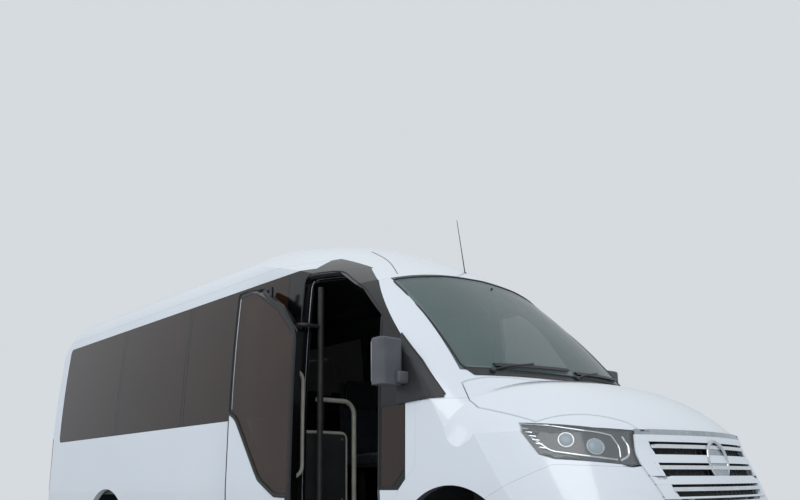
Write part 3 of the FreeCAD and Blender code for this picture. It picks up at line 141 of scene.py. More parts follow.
def finish(name, light, dark, blotch, grain, depth, rough=(0.4, 0.5), stretch=(1, 1, 1), **shader_values):
    """A surface of two shades that change over blotch, with roughness and height over grain, in mm."""
    made, tree, shader, coords = blank(name)
    place = coords.outputs["Object"]
    shades = ranged(tree, noise(tree, place, blotch * MM, 3.0), 0.35, 0.65)
    drawn = node(tree, "Mapping", {"Vector": place, "Scale": stretch})
    grains = noise(tree, drawn.outputs[0], grain * MM, 2.0)
    give(tree, shader, {"Base Color": over(tree, shades, linear(light), linear(dark)),
                        "Roughness": ranged(tree, grains, 0.3, 0.7, *rough),
                        "Normal": bumps(tree, grains, depth * MM, 1.0), **shader_values})
    return made


def rounded(tree, place, low, high, radius):
    """1 inside a box of stations and heights whose corners are rounded."""
    centre = ((at(low[0]) + at(high[0])) / 2, 0, (low[1] + high[1]) / 2)
    half = (abs(high[0] - low[0]) / 2 - radius, 100, abs(high[1] - low[1]) / 2 - radius)
    apart = vectors(tree, "SUBTRACT", place, centre)
    past = vectors(tree, "SUBTRACT", vectors(tree, "ABSOLUTE", apart), half)
    kept = vectors(tree, "MAXIMUM", past, (0, 0, 0))
    return maths(tree, "LESS_THAN", vectors(tree, "LENGTH", kept, out="Value"), radius)


def inside_any(tree, place, boxes):
    """1 inside any of the rounded boxes."""
    mask = None
    for box in boxes:
        inside = rounded(tree, place, *box)
        mask = inside if mask is None else maths(tree, "MAXIMUM", mask, inside)
    return mask


def enamel(name, dark_boxes=(), white_boxes=(), lined=1.4, beyond=None):
    """White two-pack enamel under lacquer, sprayed: fine orange peel, slow drift, dust low down.

    Boxes turn stretches into black gloss, as round the glass; beyond keeps that to the right of an
    offset. Faces that look inwards are trim: grey felt-backed board.
    """
    made, tree, shader, coords = blank(name)
    place = coords.outputs["Object"]
    parts = node(tree, "SeparateXYZ", {0: place})
    colour = over(tree, noise(tree, place, 0.9, 2.0), linear("#DFE5EB"), linear("#D5DCE4"))
    low = ranged(tree, parts.outputs[2], 0.9, 0.3, 0.0, 0.35)
    dusty = maths(tree, "MULTIPLY", low, noise(tree, place, 0.05, 6.0))
    colour = over(tree, dusty, colour, linear("#B9B6AE"))
    lacquer = 0.6
    black = inside_any(tree, place, dark_boxes)
    for box in white_boxes:
        black = maths(tree, "SUBTRACT", black, rounded(tree, place, *box), use_clamp=True)
    if beyond is not None:
        black = maths(tree, "MULTIPLY", black, maths(tree, "LESS_THAN", parts.outputs[1], -beyond))
    if black is not None:
        colour = over(tree, black, colour, linear("#08080A"))
        lacquer = ranged(tree, black, 0.0, 1.0, 0.6, 0.1)
    # Towards the middle line or away from it, seen along the body
    spoke = vectors(tree, "ADD", vectors(tree, "MULTIPLY", place, (0, 1, 1)), (0, 0, -lined))
    way = vectors(tree, "NORMALIZE", spoke)
    facing = vectors(tree, "DOT_PRODUCT", way, coords.outputs["Normal"], out="Value")
    inner = maths(tree, "LESS_THAN", facing, -0.45)
    lining = over(tree, noise(tree, place, 0.004, 3.0), linear("#3A3B3E"), linear("#4A4B4E"))
    give(tree, shader, {"Base Color": over(tree, inner, colour, lining),
                        "Roughness": ranged(tree, inner, 0.0, 1.0, 0.16, 0.85),
                        "Normal": bumps(tree, noise(tree, place, 0.006, 1.0), 0.02 * MM, 0.6),
                        "Coat Weight": lacquer, "Coat Roughness": 0.04, "IOR": 1.5})
    return made


def pane(name, tint, alpha, rough=0.03):
    """Float glass, tinted in the mass, with a faint ripple and smears."""
    made, tree, shader, coords = blank(name)
    place = coords.outputs["Object"]
    wave = noise(tree, place, 0.4, 1.0)
    gloss = ranged(tree, noise(tree, place, 0.15, 4.0), 0.0, 1.0, rough, rough + 0.04)
    give(tree, shader, {"Base Color": over(tree, wave, linear(tint[0]), linear(tint[1])), "Roughness": gloss,
                        "Normal": bumps(tree, wave, 0.3 * MM, 0.3), "Alpha": alpha, "IOR": 1.52,
                        "Specular IOR Level": 0.4, "Coat Weight": 0.1, "Coat Roughness": 0.02})
    return made


# Flush band of dark glass: the pillars between the panes are black gloss
BAND_RIGHT = ((2.20, 1.281), (6.604, 2.259), 0.05)
BAND_LEFT = ((2.556, 1.281), (6.604, 2.259), 0.05)
DOOR_REVEAL = ((1.50, 0.2), (2.3695, 2.196), 0.01)
white_enamel = enamel("white_enamel")
bare_enamel = enamel("white_enamel_unlined", lined=-30)
white_panel = enamel("white_moulded_panel", lined=-30)
LEAF_WHITE = ((2.30, 0.2), (3.005, 0.70), 0.02)
enamel_right = enamel("white_enamel_right_side", [BAND_RIGHT, DOOR_REVEAL])
enamel_left = enamel("white_enamel_left_side", [BAND_LEFT])
ENTRY_BLACK = [((1.0, 1.262), (3.0, 3.0), 0.02), ((1.336, 0.783), (3.0, 3.0), 0.03),
               ((1.562, 0.2), (3.0, 3.0), 0.01)]
enamel_entry = enamel("white_enamel_entry", ENTRY_BLACK)
enamel_scuttle = enamel("white_enamel_scuttle", lined=1.2)
enamel_roof = enamel("white_enamel_roof", [((1.95, 1.90), (2.402, 2.352), 0.12)], beyond=0.70)
enamel_leaf = enamel("black_entry_leaf", [((1.0, 0.0), (4.5, 3.2), 0.01)], [LEAF_WHITE])
# Glass: brown and nearly opaque along the sides, a clearer grey green in front of the driver
privacy_glass = pane("dark_privacy_glass", ("#2A1C13", "#332318"), 0.93)
leaf_glass = pane("tinted_leaf_glass", ("#33241A", "#3D2C20"), 0.80)
screen_glass = pane("laminated_windscreen", ("#5E6F70", "#6B7C7C"), 0.55)
door_glass = pane("tempered_door_glass", ("#3E4A48", "#465350"), 0.5)
# Lamp lenses: clear moulded polycarbonate, and red acrylic whose upright flutes soften its shine
clear_lens = pane("clear_polycarbonate_lens", ("#C9D2D6", "#D8DEE2"), 0.16, rough=0.02)
red_lens = finish("red_acrylic_lens", "#8E1218", "#6E0B10", 60, 4, 0.25, (0.12, 0.2), (1, 1, 4),
                  **{"Coat Weight": 1.0, "IOR": 1.49})
# Seals and mouldings: matt rubber, plastics whose fine grain breaks up the light, one black gloss
rubber = finish("extruded_seal_rubber", "#17181A", "#202124", 25, 1.5, 0.15, (0.5, 0.65))
black_plastic = finish("grained_black_polypropylene", "#1E2023", "#25282B", 120, 2.5, 0.12, (0.42, 0.58))
housing = finish("grained_grey_housing", "#4A4D52", "#52555A", 120, 2.5, 0.12, (0.45, 0.6))
gloss_black = finish("gloss_black_moulding", "#0C0D0F", "#121316", 90, 6, 0.02, (0.12, 0.2),
                     **{"Coat Weight": 0.6})
# Bright parts: grain drawn out along the body on the anodised and satin ones, none on plated ones
BRUSHED = (1, 8, 8)
bright_trim = finish("bright_anodised_trim", "#E4E8EA", "#D9DDE0", 60, 2, 0.01, (0.18, 0.26), BRUSHED,
                     Metallic=0.9)
silver = finish("satin_silver_moulding", "#B9BDC1", "#A8ADB2", 80, 1.2, 0.02, (0.2, 0.32), BRUSHED,
                Metallic=1.0)
chrome = finish("bright_chrome_plating", "#D6D9DC", "#C6CACE", 50, 5, 0.01, (0.06, 0.12), Metallic=1.0)
# Underneath: satin paint greyed by dust, rough castings, dull tank plastic, spangled zinc
chassis_paint = finish("black_chassis_enamel", "#1A1B1C", "#2B2926", 90, 4, 0.2, (0.45, 0.7))
iron = finish("cast_iron", "#4A4A4A", "#5A5550", 60, 3, 0.4, (0.55, 0.75), Metallic=0.6)
tank_plastic = finish("rotomoulded_polyethylene", "#1B1C1E", "#242628", 150, 5, 0.3, (0.5, 0.65))
steel = finish("galvanised_steel", "#8C8F91", "#757879", 30, 2, 0.05, (0.35, 0.5), Metallic=1.0)
# Inside and wheels: dull vinyl, smooth powder coat, sooty tyre rubber, silver enamel, soft skin
covering = finish("studded_floor_vinyl", "#3A3C3F", "#55585B", 6, 2, 0.2, (0.5, 0.65))
rail_paint = finish("satin_grey_powder_coat", "#A9A79C", "#9A988E", 70, 2, 0.05, (0.28, 0.4))
tyre_rubber = finish("tyre_rubber", "#1B1B1C", "#262625", 45, 3, 0.3, (0.65, 0.85))
wheel_paint = finish("silver_wheel_enamel", "#A4A8AB", "#8E9296", 60, 3, 0.05, (0.25, 0.4), Metallic=0.7)
dash_plastic = finish("soft_dashboard_skin", "#26282A", "#2E3032", 200, 3, 0.25, (0.55, 0.7))

FINISHES = {
    "white_paint": white_enamel, "lamp_lens": clear_lens, "tail_lens": red_lens,
    "windscreen_glass": screen_glass, "dark_glass": privacy_glass, "black_plastic": black_plastic,
    "silver_trim": silver, "chassis_steel": chassis_paint, "engine_iron": iron, "tank_plastic": tank_plastic,
    "floor_covering": covering, "handrail_paint": rail_paint, "tyre": tyre_rubber, "wheel_steel": wheel_paint,
}
OWN_FINISH = {
    "side_right": enamel_right, "side_left": enamel_left, "entry_surround": enamel_entry,
    "front_frame": enamel_scuttle, "roof": enamel_roof, "entry_door": enamel_leaf,
    "entry_door_glass": leaf_glass, "bonnet": bare_enamel, "wings": bare_enamel,
    "front_bumper": bare_enamel, "grille": bare_enamel, "mirror_right": housing, "mirror_left": housing,
    "driver_door_glass": door_glass, "fixed_pane": privacy_glass, "dashboard": dash_plastic,
    "steering_wheel": black_plastic,
}
node_slots = {}
for part in frame["record"]["subparts"]:
    node_slots[part["node"]] = part["material_slot"]
for name, obj in NODES.items():
    chosen = OWN_FINISH.get(name) or FINISHES.get(node_slots.get(name))
    for i in range(len(obj.material_slots)):
        obj.material_slots[i].material = chosen or white_enamel

# Floor and light
bpy.ops.object.select_all(action="DESELECT")
bpy.ops.mesh.primitive_plane_add(size=60, location=(0, 0, 0))
floor = bpy.context.object
floor.name = "studio_floor"
studio = finish("studio_floor", "#D9DADB", "#D3D4D6", 900, 12, 0.05, (0.75, 0.85))
floor.data.materials.append(studio)

world = bpy.data.worlds.new("studio")
bpy.context.scene.world = world
world.use_nodes = True
sky = world.node_tree
backdrop = sky.nodes["Background"]
ways = node(sky, "TexCoord")
heights = node(sky, "SeparateXYZ", {0: ways.outputs["Generated"]})
rise = ranged(sky, heights.outputs[2], -0.1, 0.7)
tones = over(sky, rise, linear("#C9D3DC"), linear("#F4F8FC"))
rays = node(sky, "LightPath")
seen = over(sky, rays.outputs["Is Camera Ray"], tones, linear("#E6EBF0"))
sky.links.new(seen, backdrop.inputs["Color"])
backdrop.inputs["Strength"].default_value = 0.85


def lamp(name, spot, target, size, power):
    data = bpy.data.lights.new(name, "AREA")
    data.size = size
    data.energy = power
    made = bpy.data.objects.new(name, data)
    bpy.context.scene.collection.objects.link(made)
    made.location = spot
    made.rotation_euler = (Vector(target) - Vector(spot)).to_track_quat("-Z", "Y").to_euler()


lamp("key_light", (7, -6, 8), (0, 0, 1), 6, 260)
lamp("side_light", (-3, -9, 6), (-1, 0, 1), 6, 120)


# Making of pieces
def alone(obj=None):
    """Only this piece is selected and active, in object mode."""
    if bpy.context.object and bpy.context.object.mode != "OBJECT":
        bpy.ops.object.mode_set(mode="OBJECT")
    bpy.ops.object.select_all(action="DESELECT")
    if obj:
        obj.select_set(True)
        bpy.context.view_layer.objects.active = obj


def edited(obj, *steps):
    """Runs steps on the whole piece in edit mode."""
    alone(obj)
    bpy.ops.object.mode_set(mode="EDIT")
    bpy.ops.mesh.select_all(action="SELECT")
    for step in steps:
        step()
    bpy.ops.object.mode_set(mode="OBJECT")


def settled(obj):
    """Puts a piece's place into its mesh."""
    alone(obj)
    bpy.ops.object.transform_apply(location=True, rotation=True, scale=True)


def modified(obj, kind, **settings):
    """Adds a modifier and applies it."""
    alone(obj)
    made = obj.modifiers.new(kind.lower(), kind)
    for key, value in settings.items():
        setattr(made, key, value)
    bpy.ops.object.modifier_apply(modifier=made.name)


def smooth(obj, angle=35):
    alone(obj)
    bpy.ops.object.shade_smooth_by_angle(angle=math.radians(angle))


def fitted(obj, name, body, material):
    """Names and finishes a piece, and gives it its body."""
    obj.name = name
    obj.data.name = name
    obj.data.materials.clear()
    obj.data.materials.append(material)
    smooth(obj)
    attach(obj, body)
    return obj


def shape(kind, **settings):
    """One of the ready meshes, with its place put into it."""
    alone()
    getattr(bpy.ops.mesh, "primitive_%s_add" % kind)(**settings)
    settled(bpy.context.object)
    return bpy.context.object


def plain_block(low, high):
    """A sharp block between two corners."""
    alone()
    low, high = Vector(low), Vector(high)
    bpy.ops.mesh.primitive_cube_add(size=1, location=(low + high) / 2)
    obj = bpy.context.object
    obj.scale = high - low
    settled(obj)
    return obj


def block(low, high, bevel=0.004, segments=2):
    """A block between two corners with rounded edges."""
    obj = plain_block(low, high)
    modified(obj, "BEVEL", width=bevel, segments=segments)
    return obj


def turn_to(way):
    """The turn that takes up to a way."""
    return Vector(way).to_track_quat("Z", "Y").to_euler()


def merged(pieces):
    """Several pieces as one."""
    alone(pieces[0])
    for piece in pieces[1:]:
        piece.select_set(True)
    if len(pieces) > 1:
        bpy.ops.object.join()
    return bpy.context.object


def softened(points, radius, closed=True, steps=5):
    """Corners turned into short curves."""
    out = []
    count = len(points)
    for i in range(count):
        spot = Vector(points[i])
        if not closed and i in (0, count - 1):
            out.append(spot)
            continue
        before = Vector(points[i - 1]) - spot
        after = Vector(points[(i + 1) % count]) - spot
        reach = min(radius, before.length * 0.48, after.length * 0.48)
        start = spot + before.normalized() * reach
        end = spot + after.normalized() * reach
        for k in range(steps + 1):
            t = k / steps
            out.append(start * (1 - t) ** 2 + spot * 2 * t * (1 - t) + end * t ** 2)
    return out


def spaced(points, step, closed=True):
    """More points, so that no run is longer than step."""
    out = []
    runs = len(points) if closed else len(points) - 1
    for i in range(runs):
        first, second = Vector(points[i]), Vector(points[(i + 1) % len(points)])
        pieces = max(1, math.ceil((second - first).length / step))
        out += [first.lerp(second, k / pieces) for k in range(pieces)]
    if not closed:
        out.append(Vector(points[-1]))
    return out


def tube(places, radius, closed=False, resolution=2):
    """A round bar along points."""
    alone()
    curve = bpy.data.curves.new("tube", "CURVE")
    curve.dimensions = "3D"
    spline = curve.splines.new("POLY")
    spline.points.add(len(places) - 1)
    for point, place in zip(spline.points, places):
        point.co = (*place, 1)
    spline.use_cyclic_u = closed
    curve.bevel_depth = radius
    curve.bevel_resolution = resolution
    curve.use_fill_caps = not closed
    obj = bpy.data.objects.new("tube", curve)
    bpy.context.scene.collection.objects.link(obj)
    alone(obj)
    bpy.ops.object.convert(target="MESH")
    return bpy.context.object


def skin_of(*names):
    """The joint surface of some nodes, for rays."""
    spots, faces = [], []
    for name in names:
        mesh = NODES[name].data
        start = len(spots)
        spots += [NODES[name].matrix_world @ v.co for v in mesh.vertices]
        faces += [[start + i for i in face.vertices] for face in mesh.polygons]
    return BVHTree.FromPolygons(spots, faces)


def seen_along(skin, way, start_of, depth):
    """Turns two measures into a place on the skin and its outward way; a miss is put at the depth."""
    way = Vector(way)
    axis = [bool(part) for part in way].index(True)

    def spot(point):
        start = Vector(start_of(*point))
        place, normal = skin.ray_cast(start, way)[:2]
        if place:
            return place, normal
        start[axis] = depth
        return start, -way
    return spot


def from_side(skin, side):
    """A station and a height, seen from the right or the left."""
    return seen_along(skin, (0, -side, 0), lambda station, z: (at(station), side * 3, z), side * 0.99)


def from_front(skin):
    """An offset from the middle and a height, seen from ahead."""
    return seen_along(skin, (-1, 0, 0), lambda y, z: (6, y, z), 3.2)


def from_rear(skin):
    """An offset from the middle and a height, seen from behind."""
    return seen_along(skin, (1, 0, 0), lambda y, z: (-6, y, z), -3.4)


def from_top(skin):
    """A station and an offset from the middle, seen from above."""
    return seen_along(skin, (0, 0, -1), lambda station, y: (at(station), y, 5), 1)


def bead(spot, points, radius, closed=True, corner=0.03, step=0.05, lift=0.0):
    """A rubber or metal line that follows the skin."""
    line = spaced(softened(points, corner, closed), step, closed)
    places = []
    for point in line:
        place, normal = spot(point)
        places.append(place + normal * lift)
    return tube(places, radius, closed)


def plate(spot, rows, thickness, lift=0.0005):
    """A thin plate on the skin between lines; each row has the same number of points."""
    alone()
    bpy.ops.mesh.primitive_grid_add(x_subdivisions=len(rows[0]) - 1, y_subdivisions=len(rows) - 1)
    obj = bpy.context.object
    wide = len(rows[0])
    for i, vertex in enumerate(obj.data.vertices):
        place, normal = spot(rows[i // wide][i % wide])
        vertex.co = place + normal * lift
    obj.location = (0, 0, 0)
    outward = spot(rows[0][0])[1]
    obj.data.update()
    if obj.data.polygons[0].normal.dot(outward) < 0:
        edited(obj, bpy.ops.mesh.flip_normals)
    modified(obj, "SOLIDIFY", thickness=thickness, offset=1.0)
    return obj


def between(lower, upper, rows, columns):
    """A grid of points between two lines of corners."""
    def along(line, t):
        lengths = [(Vector(b) - Vector(a)).length for a, b in zip(line, line[1:])]
        left = t * sum(lengths)
        for a, b, length in zip(line, line[1:], lengths):
            if left <= length + 1e-9:
                return Vector(a).lerp(Vector(b), left / max(length, 1e-9))
            left -= length
        return Vector(line[-1])
    grid = []
    for i in range(rows + 1):
        row = []
        for k in range(columns + 1):
            t = k / columns
            row.append(along(lower, t).lerp(along(upper, t), i / rows))
        grid.append(row)
    return grid


def upright_grid(left, right, low, high, rows, columns):
    """A grid over a rectangle of places on the skin."""
    return between([(left, low), (right, low)], [(left, high), (right, high)], rows, columns)


def turned(outline, centre, steps=96):
    """A ring spun about a line along Y; the outline is given as offsets along Y and radii."""
    alone()
    bpy.ops.mesh.primitive_circle_add(vertices=len(outline), radius=1)
    obj = bpy.context.object
    centre = Vector(centre)
    for vertex, (along, radius) in zip(obj.data.vertices, outline):
        vertex.co = centre + Vector((0, along, radius))
    edited(obj, lambda: bpy.ops.mesh.spin(steps=steps, angle=2 * math.pi, center=centre, axis=(0, 1, 0)),
           lambda: bpy.ops.mesh.select_all(action="SELECT"),
           lambda: bpy.ops.mesh.remove_doubles(threshold=0.0002),
           lambda: bpy.ops.mesh.normals_make_consistent(inside=False))
    return obj


# Entry doorway: seals round the leaf and round the opening
right_skin = skin_of("side_right", "entry_surround", "side_glass", "fixed_pane", "front_frame", "wings",
                     "roof")
right_spot = from_side(right_skin, RIGHT)
leaf_skin = skin_of("entry_door", "entry_door_glass")
leaf_spot = from_side(leaf_skin, RIGHT)
LEAF_FRONT, LEAF_REAR, LEAF_FOOT = 2.236, 3.015, 0.38
front_seal = [(LEAF_FRONT + 0.014, LEAF_FOOT + 0.01), (LEAF_FRONT + 0.014, 1.785), (2.463, 1.988),
              (2.77, 2.168), (2.80, 2.170)]
fitted(bead(leaf_spot, front_seal, 0.015, False, 0.09, lift=0.002), "leaf_front_seal", "entry_leaf", rubber)
rear_seal = [(LEAF_REAR - 0.007, LEAF_FOOT + 0.01), (LEAF_REAR - 0.007, 2.175), (2.81, 2.175)]
fitted(bead(leaf_spot, rear_seal, 0.007, False, 0.04), "leaf_rear_seal", "entry_leaf", rubber)
diagonal = [(LEAF_FRONT + 0.03, 0.752), (2.41, 0.754), (2.608, 0.862), (2.915, 1.274),
            (LEAF_REAR - 0.012, 1.316)]
fitted(bead(leaf_spot, diagonal, 0.013, False, 0.07, lift=0.001), "leaf_glass_seal", "entry_leaf", rubber)
fitted(bead(leaf_spot, [(LEAF_REAR - 0.04, 1.34), (LEAF_REAR - 0.04, 2.13)], 0.0028, False),
       "leaf_bright_line", "entry_leaf", silver)
x = at(2.33)
handle = tube(softened([(x, -1.052, 0.86), (x, -0.985, 0.90), (x, -0.985, 1.52), (x, -1.052, 1.56)], 0.05,
                       False), 0.012)
fitted(handle, "leaf_grab_handle", "entry_leaf", rail_paint)

RECESS = [(2.352, 0.38), (2.352, 2.175), (2.094, 2.175), (1.794, 1.995), (1.581, 1.786), (1.581, 0.38)]
RIM = [(2.378, 0.40), (2.378, 2.203), (2.094, 2.203), (1.778, 2.014), (1.553, 1.800), (1.553, 0.42)]
fitted(bead(right_spot, RIM, 0.005, False, 0.07), "doorway_outer_seal", "body", rubber)
fitted(bead(right_spot, RECESS, 0.002, False, 0.07), "doorway_bright_line", "body", silver)


# Places named by a pixel of the photograph, on the surface that the camera sees there
def from_pixel(skin):
    def spot(point):
        way = look + across * ((point[0] - 400) / FOCAL_PIXELS) + upright * ((330 - point[1]) / FOCAL_PIXELS)
        place, normal = skin.ray_cast(camera.matrix_world.translation, way.normalized())[:2]
        return place, normal
    return spot


def mirrored(obj, name):
    """A copy of a piece on the other side of the middle plane."""
    alone(obj)
    bpy.ops.object.duplicate()
    copy = bpy.context.object
    copy.scale = (1, -1, 1)
    settled(copy)
    edited(copy, lambda: bpy.ops.mesh.normals_make_consistent(inside=False))
    copy.name = name
    return copy


def pair(obj, name, material, body="body", left_body=None):
    """A piece on the right and its mirror image on the left."""
    other = mirrored(obj, name + "_left")
    fitted(obj, name + "_right", body, material)
    fitted(other, name + "_left", left_body or body, material)


# Headlamps: a dark body under the lens, light guides, a row of light bars and two projectors
lamp_skin = skin_of("headlamps")
lamp_spot = from_pixel(lamp_skin)
alone(NODES["headlamps"])
bpy.ops.object.duplicate()
lamp_body = bpy.context.object
edited(lamp_body, lambda: bpy.ops.mesh.remove_doubles(threshold=0.0001),
       lambda: bpy.ops.transform.shrink_fatten(value=-0.010))
fitted(lamp_body, "headlamp_inner_body", "body", gloss_black)
LAMP_SINK = -0.006
# Lines of pixels, each with the bar's radius and its corners' size in pixels
GUIDES = {
    "light": ([(622, 436.5), (629, 446), (629.5, 456), (621, 460.5)], 0.007, 4),
    "second": ([(612, 436), (620, 447), (621, 457)], 0.004, 4),
    "top": ([(520, 423), (548, 424.5), (600, 432), (612, 435)], 0.004, 3),
    "low": ([(531, 437), (551, 450.5), (585, 455), (618, 459)], 0.005, 5),
}
for word, (line, radius, corner) in GUIDES.items():
    pair(bead(lamp_spot, line, radius, False, corner, 2, LAMP_SINK), "headlamp_%s_guide" % word, chrome)
bars = []
for i in range(6):
    u = 521.5 + 3.6 * i
    v = 427.5 + 3.9 * i
    bars.append(bead(lamp_spot, [(u, v), (u + 7, v + 0.8)], 0.005, False, 0, 2, LAMP_SINK))
pair(merged(bars), "headlamp_light_bars", chrome)


def bowl(centre, way, radius, depth):
    """A projector: a collar round a bulging lens."""
    collar = shape("torus", location=centre, rotation=turn_to(way), major_radius=radius,
                   minor_radius=depth, major_segments=40, minor_segments=10)
    eye = shape("uv_sphere", segments=32, ring_count=16, radius=radius * 0.92, location=centre,
                rotation=turn_to(way), scale=(1, 1, 0.3))
    return collar, eye


collars, eyes = [], []
for pixel, radius in (((566, 439), 0.036), ((596, 445.5), 0.040)):
    place, normal = lamp_spot(pixel)
    collar, eye = bowl(place - normal * 0.010, normal, radius, 0.004)
    collars.append(collar)
    eyes.append(eye)
projector_glass = pane("projector_glass", ("#8E9BA3", "#A0ACB3"), 0.9)
pair(merged(collars), "headlamp_collars", chrome)
pair(merged(eyes), "headlamp_projectors", projector_glass)

outer_nose = from_front(skin_of("grille", "nose_trim"))

DISC_HEIGHT = 0.912
place, normal = outer_nose((0, DISC_HEIGHT))
ring = shape("torus", location=(place.x - 0.001, 0, DISC_HEIGHT), rotation=(0, math.radians(90 - 9), 0),
             major_radius=0.099, minor_radius=0.009, major_segments=64, minor_segments=12)
fitted(ring, "badge_ring", "body", chrome)

# Plates at the foot of the screen pillars
pillar_spot = from_side(skin_of("wings", "front_frame", "entry_surround"), RIGHT)
foot_rows = between([(1.078, 1.268), (1.24, 1.260), (1.405, 1.252)],
                    [(1.084, 1.290), (1.24, 1.480), (1.405, 1.655)], 14, 14)
corner_plate = plate(pillar_spot, foot_rows, 0.007, 0.001)
modified(corner_plate, "BEVEL", width=0.002, segments=2)
fitted(corner_plate, "mirror_foot_plate_right", "body", black_plastic)
fitted(bead(pillar_spot, [(1.080, 1.284), (1.24, 1.485), (1.41, 1.664)], 0.005, False, 0.02, lift=0.004),
       "mirror_plate_edge_right", "body", rubber)
# The left one stands on the door alone, behind the door's front edge
door_rows = between([(1.272, 1.258), (1.405, 1.252)], [(1.272, 1.512), (1.405, 1.655)], 14, 10)
door_plate = plate(pillar_spot, door_rows, 0.007, 0.001)
modified(door_plate, "BEVEL", width=0.002, segments=2)
fitted(mirrored(door_plate, "door_plate"), "mirror_foot_plate_left", "driver_door", black_plastic)
bpy.data.objects.remove(door_plate)

# Arms from the foot plates to the mirrors
pair(block((at(1.420), -1.075, 1.362), (at(1.305), -0.935, 1.430), 0.014, 4),
     "mirror_arm_cover", housing, left_body="driver_door")

# Mirrors: glass behind, a lamp at the outer edge
for side, body, word in ((RIGHT, "body", "right"), (LEFT, "driver_door", "left")):
    x = at(1.443)
    near, far = sorted((side * 1.030, side * 1.155))
    fitted(block((x - 0.004, near, 1.375), (x + 0.004, far, 1.600), 0.003), "mirror_glass_" + word, body,
           chrome)
    near, far = sorted((side * 1.120, side * 1.1722))
    fitted(block((x + 0.030, near, 1.362), (x + 0.075, far, 1.425), 0.006), "mirror_lamp_" + word, body,
           clear_lens)

# Grille: body-colour fins over three openings, each with a bright bar, and a bright band above them
GRILLE_SLOTS = ((1.000, 0.937, 0.486), (0.897, 0.834, 0.481), (0.794, 0.737, 0.462))
GRILLE_EDGE = [(0.556, 1.034), (0.586, 0.915), (0.531, 0.727)]


def grille_reach(z):
    """Half the grille's width at a height."""
    for (y0, z0), (y1, z1) in zip(GRILLE_EDGE, GRILLE_EDGE[1:]):
        if z >= z1:
            return y0 + (y1 - y0) * min(1, max(0, (z0 - z) / (z0 - z1)))
    return GRILLE_EDGE[-1][0]


LIP = Vector((at(0.110), 0, 1.060))


def hull_nose(point):
    """The nose as one even surface: places on the fins' fronts, joined across openings."""
    y, z = point
    marks = (LIP.z, 0.960, 0.872, 0.784, 0.727)
    k = 0
    while k < len(marks) - 2 and z < marks[k + 1]:
        k += 1
    lower, way = wide_nose((y, marks[k + 1]))
    upper = wide_nose((y, marks[k]))[0] if k else lower + LIP - wide_nose((0, marks[1]))[0]
    return upper.lerp(lower, (marks[k] - z) / (marks[k] - marks[k + 1])), way


wide_nose = from_front(skin_of("grille", "front_bumper", "headlamps"))


def nose_band(high, low, left, right, thickness=0.004, lift=0.0005):
    """A plate on the nose between two heights; left and right are offsets at the top and the foot."""
    rows = between([(left[1], low), (right[1], low)], [(left[0], high), (right[0], high)], 4, 36)
    return plate(hull_nose, rows, thickness, lift)


levels = [1.034] + [z for slot in GRILLE_SLOTS for z in slot[:2]] + [0.727]
fins = []
for high, low in zip(levels[::2], levels[1::2]):
    top_reach, foot_reach = grille_reach(high), grille_reach(low)
    fins.append(nose_band(high, low, (-top_reach, -foot_reach), (top_reach, foot_reach), 0.008))
for high, low, reach in GRILLE_SLOTS:
    for side in (RIGHT, LEFT):
        ends = [(side * grille_reach(high), side * grille_reach(low)), (side * reach, side * (reach - 0.01))]
        ends.sort(key=lambda pair_of: pair_of[0])
        fins.append(nose_band(high, low, ends[0], ends[1], 0.008))
grille_piece = merged(fins)
modified(grille_piece, "BEVEL", width=0.0015, segments=1)
fitted(grille_piece, "grille_panel", "body", white_panel)
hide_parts("grille")
bright = [nose_band(high - 0.013, high - 0.032, (-reach, -reach + 0.004), (reach, reach - 0.004), 0.006, 0.004)
          for high, low, reach in GRILLE_SLOTS]
fitted(merged(bright), "grille_bright_bars", "body", bright_trim)
fitted(nose_band(1.062, 1.030, (-0.545, -0.553), (0.545, 0.553), 0.006, 0.001), "grille_bright_band", "body",
       silver)
ribs = [bead(hull_nose, [(i * 0.052, 0.738), (i * 0.052, 1.0)], 0.0035, False, 0, 0.04, -0.014)
        for i in range(-8, 9)]
fitted(merged(ribs), "grille_ribs", "body", black_plastic)
fitted(nose_band(1.03, 0.73, (-0.50, -0.48), (0.50, 0.48), 0.003, -0.030), "grille_back", "body",
       black_plastic)


# Wheels
AXLES = {"front": 2.4795, "rear": -1.8455}
AXLE_HEIGHT = 0.356


def tyre_outline(width):
    """Tread with four grooves, shoulders, sidewalls and beads, as offsets and radii."""
    half = width / 2
    right = [(0.0, 0.356), (0.016, 0.3558), (0.018, 0.349), (0.026, 0.349), (0.028, 0.3552), (0.050, 0.3545),
             (0.052, 0.347), (0.060, 0.347), (0.062, 0.3535), (half - 0.024, 0.349), (half - 0.010, 0.338),
             (half - 0.004, 0.322), (half - 0.001, 0.298), (half, 0.278), (half - 0.001, 0.262),
             (half - 0.0005, 0.259), (half - 0.003, 0.244), (half - 0.005, 0.232), (half - 0.012, 0.2165),
             (half - 0.018, 0.2088)]
    left = [(-y, r) for y, r in reversed(right[1:])]
    return right + left


def tread(width, centre):
    """A tyre whose tread is cut into blocks."""
    steps = 120
    obj = turned(tyre_outline(width), centre, steps)
    alone(obj)
    centre = Vector(centre)
    pitch = 2 * math.pi / steps
    for face in obj.data.polygons:
        spot = face.center - centre
        radius = math.hypot(spot.x, spot.z)
        turn = int((math.atan2(spot.z, spot.x) + math.pi) / pitch + (3 if abs(spot.y) > 0.04 else 1.5))
        face.select = radius > 0.3465 and radius < 0.357 and turn % 4 == 0
    bpy.ops.object.mode_set(mode="EDIT")
    bpy.ops.mesh.extrude_region_shrink_fatten(TRANSFORM_OT_shrink_fatten={"value": -0.006})
    bpy.ops.object.mode_set(mode="OBJECT")
    return obj


